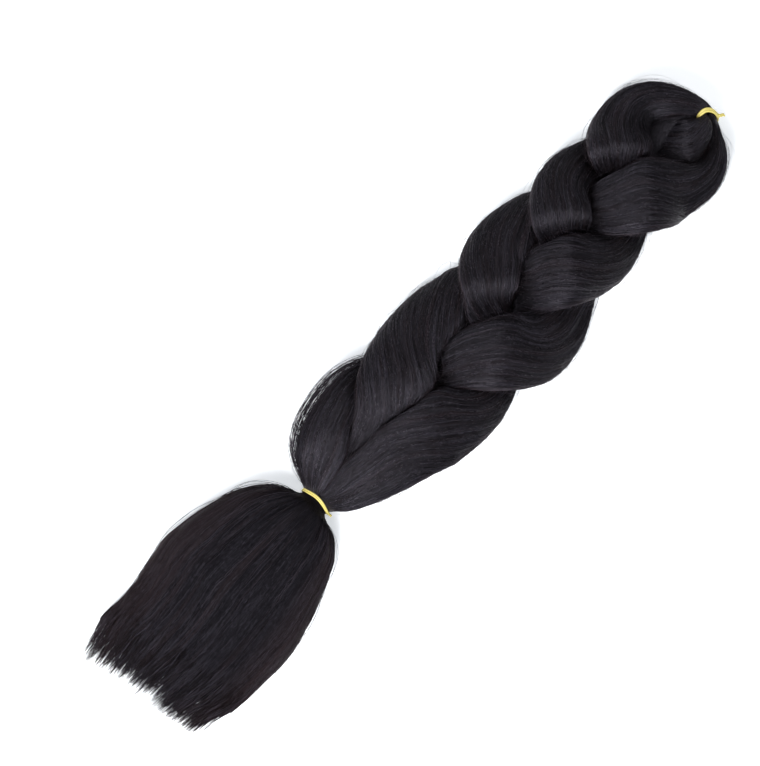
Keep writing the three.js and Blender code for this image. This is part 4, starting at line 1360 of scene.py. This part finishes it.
def tail_fibres():
    """Fibres of the tail. Towards the cut each is drawn to the middle of its lock."""
    rng = np.random.default_rng(71)
    count = (TAIL_FIBRES, 1)
    t = np.linspace(0, 1, TAIL_FIBRE_STEPS)[None]
    # most fibres lie on the upper side, and few of them lie deep
    on_top = rng.uniform(0, 1, count) < 0.8
    u0 = np.where(on_top, rng.uniform(*UPPER, count), rng.uniform(0, 1, count))
    deep = rng.uniform(0, 1, count) ** 2.2 * 0.8
    # each belongs to the nearest lock and ends where that does, unless it is a short one
    lock_u, lock_deep = rng.uniform(0, 1, TAIL_LOCKS), rng.uniform(0, 0.7, TAIL_LOCKS)
    gap_u = (u0 - lock_u[None] + 0.5) % 1 - 0.5
    nearest = np.argmin((gap_u * 3) ** 2 + (deep - lock_deep[None]) ** 2, axis=1)[:, None]
    lock_end = 1.03 - 0.13 * rng.beta(1.5, 1.8, TAIL_LOCKS)
    end = lock_end[nearest] - 0.06 * rng.beta(1.0, 3.0, count)
    short = rng.uniform(0, 1, count) < 0.5
    end = np.where(short, rng.uniform(0.2, 0.97, count), end)
    start = np.maximum(0.006, end - rng.uniform(0.2, 0.55, count))
    s = start + (end - start) * t
    # on the last two fifths of the tail it is drawn to the middle of its lock
    pull = 0.85 * smooth((s - 0.6) / 0.42) ** 1.6
    u = u0 - pull * np.take_along_axis(gap_u, nearest, 1)
    depth = deep + pull * (lock_deep[nearest] - deep) + rng.normal(0, 0.01, count)
    u = u + rng.normal(0, 0.01, count) * (t - 0.5)
    u = u + 0.0032 * wander(u0 * 9.7 % 1 + 0 * t, s, (200, 45), 73)
    points, normals = on_skin(TAIL, s, u)
    # at the tail's two sides some fibres bow outwards
    side = np.abs(np.sin(2 * np.pi * u0)) ** 4
    loose = rng.gamma(1.2, 1.6, count) * side * (rng.uniform(0, 1, count) < 0.4)
    stand = tail_relief(u, s) + rng.uniform(-0.1, 0.6, count) + loose * np.sin(np.pi * t)
    surface = points + normals * (stand * band_calm(points))[..., None]
    inward = (tail_middle(s) - surface) * np.clip(depth, 0, 0.95)[..., None]
    paths = surface + inward * smooth(s / 0.3)[..., None]
    sunk = TAIL_FIBRE_DIP * dip(t) + TAIL_FIBRE_DIP * dip(1 - t) * short
    paths = paths - normals * sunk[..., None]
    radius = rng.uniform(*TAIL_FIBRE_RADIUS, count) * np.clip((1 - t) / 0.35, 0.15, 1) ** 0.7
    tint = tail_tint(rng.beta(0.8, 2.0, count) * FIBRE_TINT, u, s)
    grain = grain_at(u, s, TAIL_LENGTH, TAIL_GIRTH)
    unshaded, rim = tail_unshaded(paths), tail_rim_glow(u)
    piece = fibre_mesh(
        "tail_fibres", paths, normals, radius, tail_hair, grain, tint, unshaded, rim,
    )
    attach(piece, "root")
    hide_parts("tail")


tail_fibres()

# %% [markdown]
# ## Pointed locks at the cut
# At the cut the hair ends in many small points of different length. A body that simply ended
# there would look sawn off. So pointed locks leave it well before the cut, rise slowly so that no
# step shows, and lie layer over layer down to the table.

# %% Pointed locks at the cut
CUT_LOCKS = 1050
CUT_LOCK_STEPS = 8
CUT_LOCK_START = (0.14, 0.42)  # how far before its end a lock begins, in shares of the tail
CUT_LOCK_RADIUS = (0.3, 1.15)
# the cut locks get a little painted shade
CUT_LOCK_UNSHADED = 0.9


def cut_locks():
    """Pointed locks that leave the body near the cut, layer over layer, each of its own length."""
    rng = np.random.default_rng(81)
    t = np.linspace(0, 1, CUT_LOCK_STEPS)[None]
    count = (CUT_LOCKS, 1)
    u0 = rng.uniform(0.12, 0.88, count)
    depth = rng.uniform(0.02, 0.9, count)
    # the cut is uneven, coarsely and finely, and reaches farther at its two corners
    right_corner, left_corner = bell((u0 - 0.75) / 0.12), bell((u0 - 0.25) / 0.09)
    end = 0.97 + 0.035 * wander(u0, 0 * u0, (13, 1), 82) + 0.025 * wander(u0, 0 * u0, (41, 1), 84)
    end = end - 0.13 * rng.beta(1.1, 2.4, count)
    end = end + 0.05 * right_corner + 0.03 * left_corner
    depth = depth * (1 - 0.75 * np.maximum(right_corner, left_corner))
    s = end - rng.uniform(*CUT_LOCK_START, count) * (1 - t)
    u = u0 + rng.normal(0, 0.012, count) * t**2
    u = u + 0.004 * wander(u0 * 5.3 % 1 + 0 * t, s, (80, 30), 83)
    points, normals = on_skin(TAIL, s, u)
    rise = smooth(t / 0.4)
    surface = points + normals * (tail_relief(u, s) - 0.3 - 1.2 * (1 - rise))[..., None]
    paths = surface + (tail_middle(s) - surface) * depth[..., None]
    radius = rng.uniform(*CUT_LOCK_RADIUS, count) * (1 - t) ** 0.85 * (0.2 + 0.8 * rise) + 0.05
    tint = tail_tint(rng.beta(0.8, 2.0, count) * 0.6, u, s)
    grain = grain_at(u, s, TAIL_LENGTH, TAIL_GIRTH)
    rim = tail_rim_glow(u)
    piece = fibre_mesh(
        "tail_cut_locks", paths, normals, radius, tail_hair, grain, tint, CUT_LOCK_UNSHADED, rim,
    )
    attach(piece, "root")
    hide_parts("tail")


cut_locks()

# %% [markdown]
# ## Flyaway hairs
# A plait is never quite smooth. Along its rims single hairs stand off, most of all where the
# strands turn and near the tail band, where the hair is looser. They could be drawn one by one,
# but seeded chance places hundreds in one go, and the same ones each time. They're what makes the
# edge of real hair soft, so they matter more than their size says.

# %% Flyaway hairs
FLYAWAYS_A_STRAND = 220
FLYAWAY_STEPS = 13
FLYAWAY_REACH = (25, 80)
FLYAWAY_RADIUS = (0.06, 0.11)
FLYAWAY_DIP = 0.8


def flyaways():
    """Thin hairs that leave the skin, bow away from it by a few millimetres and come back or end.

    One that comes back is sin(pi t)^1.3 of its height above the skin, the others t^2.2.
    """
    rng = np.random.default_rng(91)
    parts = []
    t = np.linspace(0, 1, FLYAWAY_STEPS)[None]
    tries, count = FLYAWAYS_A_STRAND * 6, (FLYAWAYS_A_STRAND, 1)
    for name, skin in SKINS.items():
        s0, u0 = rng.uniform(0.04, 0.94, tries), rng.uniform(0, 1, tries)
        # the places that are kept are bare, face sideways, and lie near the tail band
        up = unit(on_grid(skin["normals"], s0, u0))[:, 2]
        rim = on_grid(skin["bare"], s0, u0) * (1 - np.abs(up)) * (up > -0.3)
        rim = rim + rng.uniform(0, 0.5, tries) + 0.5 * smooth((s0 - 0.72) / 0.2) * (rim > 0.2)
        keep = np.argsort(-rim)[:FLYAWAYS_A_STRAND, None]
        reach = rng.uniform(*FLYAWAY_REACH, count) / skin["gone"][-1]
        s = np.clip(s0[keep] + reach * (t - 0.5), 0.01, 0.985)
        turned = twist_at(name, s) - twist_at(name, s0[keep])
        u = u0[keep] + turned + rng.normal(0, 0.03, count) * (t - 0.5)
        points, normals = on_skin(skin, s, u)
        back = rng.uniform(0, 1, count) < 0.6
        bow = np.where(back, np.sin(np.pi * t) ** 1.3, t ** 2.2)
        height = rng.gamma(1.6, 1.3, count) + 0.4
        lift = height * bow - FLYAWAY_DIP * dip(t, 0.1) - FLYAWAY_DIP * dip(1 - t, 0.1) * back
        paths = points + normals * (lift * band_calm(points))[..., None]
        thin = 0.5 + 0.5 * np.sin(np.pi * np.clip(t, 0.05, 0.95))
        radius = rng.uniform(*FLYAWAY_RADIUS, count) * thin
        grain = grain_at(u, s, skin["gone"][-1], skin["girth"])
        parts.append((paths, normals, radius, grain, rng.uniform(0.1, 0.8, count)))
    paths, normals, radius, grain, tint = [np.concatenate(a) for a in zip(*parts)]
    piece = fibre_mesh(
        "flyaway_hairs", paths, normals, radius, strand_hair, grain, tint, 1.0, rim_glow_of(normals),
    )
    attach(piece, "root")


flyaways()

# %% [markdown]
# ## Loose hairs beside the tail band
# The last turn before the tail band is slack, and its outer hairs bow away from the strand with
# the table showing between them. A thinner body would look like a film. Separate hairs of
# different bow give the real, half open edge.

# %% Loose hairs beside the tail band
CURTAIN = {"strand": "strand_c", "from": (84.0, 112.0), "to": (3.0, 20.0), "bow": 10.0}
CURTAIN_HAIRS = 130
CURTAIN_STEPS = 18
CURTAIN_RADIUS = (0.07, 0.13)
LAST_TURN = 140.0  # the strand's last turn lies nearer the tail band than this


def curtain():
    """Hairs whose distance from the skin swells by sin(pi t)^0.8, seen from above at its rim."""
    rng = np.random.default_rng(95)
    skin = SKINS[CURTAIN["strand"]]
    count = (CURTAIN_HAIRS, 1)
    middle = skin["points"].mean(axis=1)
    last = middle[:, 0] < LAST_TURN
    along = np.linspace(0, 1, len(middle))[last]
    at = lambda x: np.interp(-x, -middle[last, 0], along)  # s at a distance from the tail band
    t = np.linspace(0, 1, CURTAIN_STEPS)[None]
    s = at(rng.uniform(*CURTAIN["from"], count)) * (1 - t)
    s = s + at(rng.uniform(*CURTAIN["to"], count)) * t
    u = 0.25 + rng.uniform(-0.03, 0.12, count) + rng.normal(0, 0.02, count) * (t - 0.5)
    u = u + 0.004 * wander(rng.uniform(0, 1, count) + 0 * t, t + 0 * s, (70, 12), 96)
    points, normals = on_skin(skin, s, u)
    swell = rng.uniform(0.05, 1, count) ** 0.75 * np.sin(np.pi * t) ** 0.8
    paths = points + normals * (CURTAIN["bow"] * swell - 0.5)[..., None]
    paths[..., 2] = np.maximum(paths[..., 2], 0.5)
    radius = rng.uniform(*CURTAIN_RADIUS, count) + 0 * t
    grain = grain_at(u, s, skin["gone"][-1], skin["girth"])
    tint = rng.uniform(0.1, 0.7, count)
    piece = fibre_mesh(
        "loose_curtain", paths, normals, radius, strand_hair, grain, tint, 1.0, rim_glow_of(normals),
    )
    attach(piece, "root")


curtain()

# %% [markdown]
# ## Elastic bands
# Each band is a thin pale yellow rubber cord that is wound twice, with its ends twisted into a
# small knot. A plain ring would do from afar, but the crossing of the two turns is what tells an
# elastic from a ring. A circle carried along a path gives the cord; the path runs twice round the
# oval neck and changes sides once.

# %% Elastic finish
RUBBER_CELLS = (9.0, 260.0, 1.0)  # round and along the cord, each about half a millimetre
ELASTIC_YELLOWS = [(0.3, (0.42, 0.34, 0.06)), (0.7, (0.7, 0.62, 0.2))]

elastic = new_material("pale_elastic")
cord_place = add_node(elastic, "ShaderNodeUVMap", {"uv_map": "around_along"})
on_cord = add_node(
    elastic, "ShaderNodeMapping", values={"Scale": RUBBER_CELLS},
    links={"Vector": cord_place.outputs[0]},
)
rubber_grain = add_noise(elastic, on_cord.outputs[0], 1.0, 3.0).outputs["Fac"]
rubber_bump = add_node(
    elastic, "ShaderNodeBump", values={"Strength": 0.4, "Distance": 0.0001},
    links={"Height": rubber_grain},
)
rubber_shader = add_node(
    elastic, "ShaderNodeBsdfPrincipled",
    values={
        "Roughness": 0.42, "Subsurface Weight": 0.15, "Subsurface Radius": (0.001, 0.0007, 0.0002),
    },
    links={
        "Base Color": add_ramp(elastic, rubber_grain, ELASTIC_YELLOWS),
        "Normal": rubber_bump.outputs[0],
    },
)
finish_material(elastic, rubber_shader)
print("elastic finish:", elastic.name)

# %% Wind the bands
CORD_RADIUS = {"tail_band": 0.7, "head_band": 0.95}
CORD_WRAPS = 2
CORD_STEPS = 260
CORD_SIDES = 12
KNOT_TURN = 0.93 * np.pi
KNOT_STEPS = 30
KNOT_ENDS = ((1, 5.5), (-1, 4.6))  # the way and the length of each end, in cord radii
UP = np.array([0, 0, 1])


def tube(path, radius):
    """Rings of a round cord: at the angle a, path + radius (side cos a + up sin a)."""
    along = unit(np.gradient(path, axis=0))
    side = unit(np.cross(along, np.array([0.02, 0.03, 1.0])))
    up = np.cross(side, along)
    turn = 2 * np.pi * np.arange(CORD_SIDES) / CORD_SIDES
    ring = np.cos(turn)[:, None] * side[:, None] + np.sin(turn)[:, None] * up[:, None]
    return path[:, None] + ring * radius[:, None, None]


def band_path(neck, cord_radius, t):
    """The cord's path for t from 0 to 1: several times round the oval neck, beside itself."""
    turn = KNOT_TURN + 2 * np.pi * CORD_WRAPS * t
    beside = cord_radius * 0.98 * np.tanh((t - 0.5) * 9)
    reach = 0.4 + cord_radius
    side, ahead = neck_axes(neck)
    path = neck["centre"] + side * (np.cos(turn) * (neck["wide"] + reach))[:, None]
    path = path + UP * (np.sin(turn) * (neck["thick"] + reach))[:, None]
    return lean(path + ahead * beside[:, None])


def elastic_band(name, neck):
    """The wound cord and two short twisted ends at its knot, as one mesh of closed tubes."""
    t = np.linspace(0, 1, CORD_STEPS)
    thick = CORD_RADIUS[name]
    swell = thick * (1 + 0.05 * np.sin(t * 37) + 0.04 * np.sin(t * 91))
    tubes = [tube(band_path(neck, thick, t), swell)]
    side, ahead = neck_axes(neck)
    out = side * np.cos(KNOT_TURN) + UP * np.sin(KNOT_TURN)
    knot = band_path(neck, thick, np.array([0.5]))[0]
    q = np.linspace(0, 1, KNOT_STEPS)[:, None]
    twist = ahead * np.cos(5 * q) + np.cross(out, ahead) * np.sin(5 * q)
    for way, reach in KNOT_ENDS:
        path = knot + out * ((q * reach + 0.1) * thick) + twist * thick * 0.8 * way
        tubes.append(tube(path + ahead * way * q**2 * thick, thick * (1 - 0.3 * q[:, 0] ** 3)))
    points, quads, fans, quad_uv, fan_uv, start = [], [], [], [], [], 0
    for rings in tubes:
        some_quads, some_fans, uv = closed_tube_faces(len(rings), CORD_SIDES)
        points.append(with_ends(rings))
        quads.append(some_quads + start)
        fans.append(some_fans + start)
        quad_uv.append(uv[:some_quads.size])
        fan_uv.append(uv[some_quads.size:])
        start += len(points[-1])
    points, quads, fans, uv = map(np.concatenate, (points, quads, fans, quad_uv + fan_uv))
    piece = new_piece(name + "_cord", points, quads, fans, elastic, uv)
    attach(piece, "root")
    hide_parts(name)


elastic_band("tail_band", TAIL_NECK)
elastic_band("head_band", HEAD_NECK)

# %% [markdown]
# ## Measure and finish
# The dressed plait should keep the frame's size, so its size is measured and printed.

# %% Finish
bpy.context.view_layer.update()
dressed_low, dressed_high = map(np.array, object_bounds())
print("dressed size in mm:", np.round((dressed_high - dressed_low) / MM, 1))
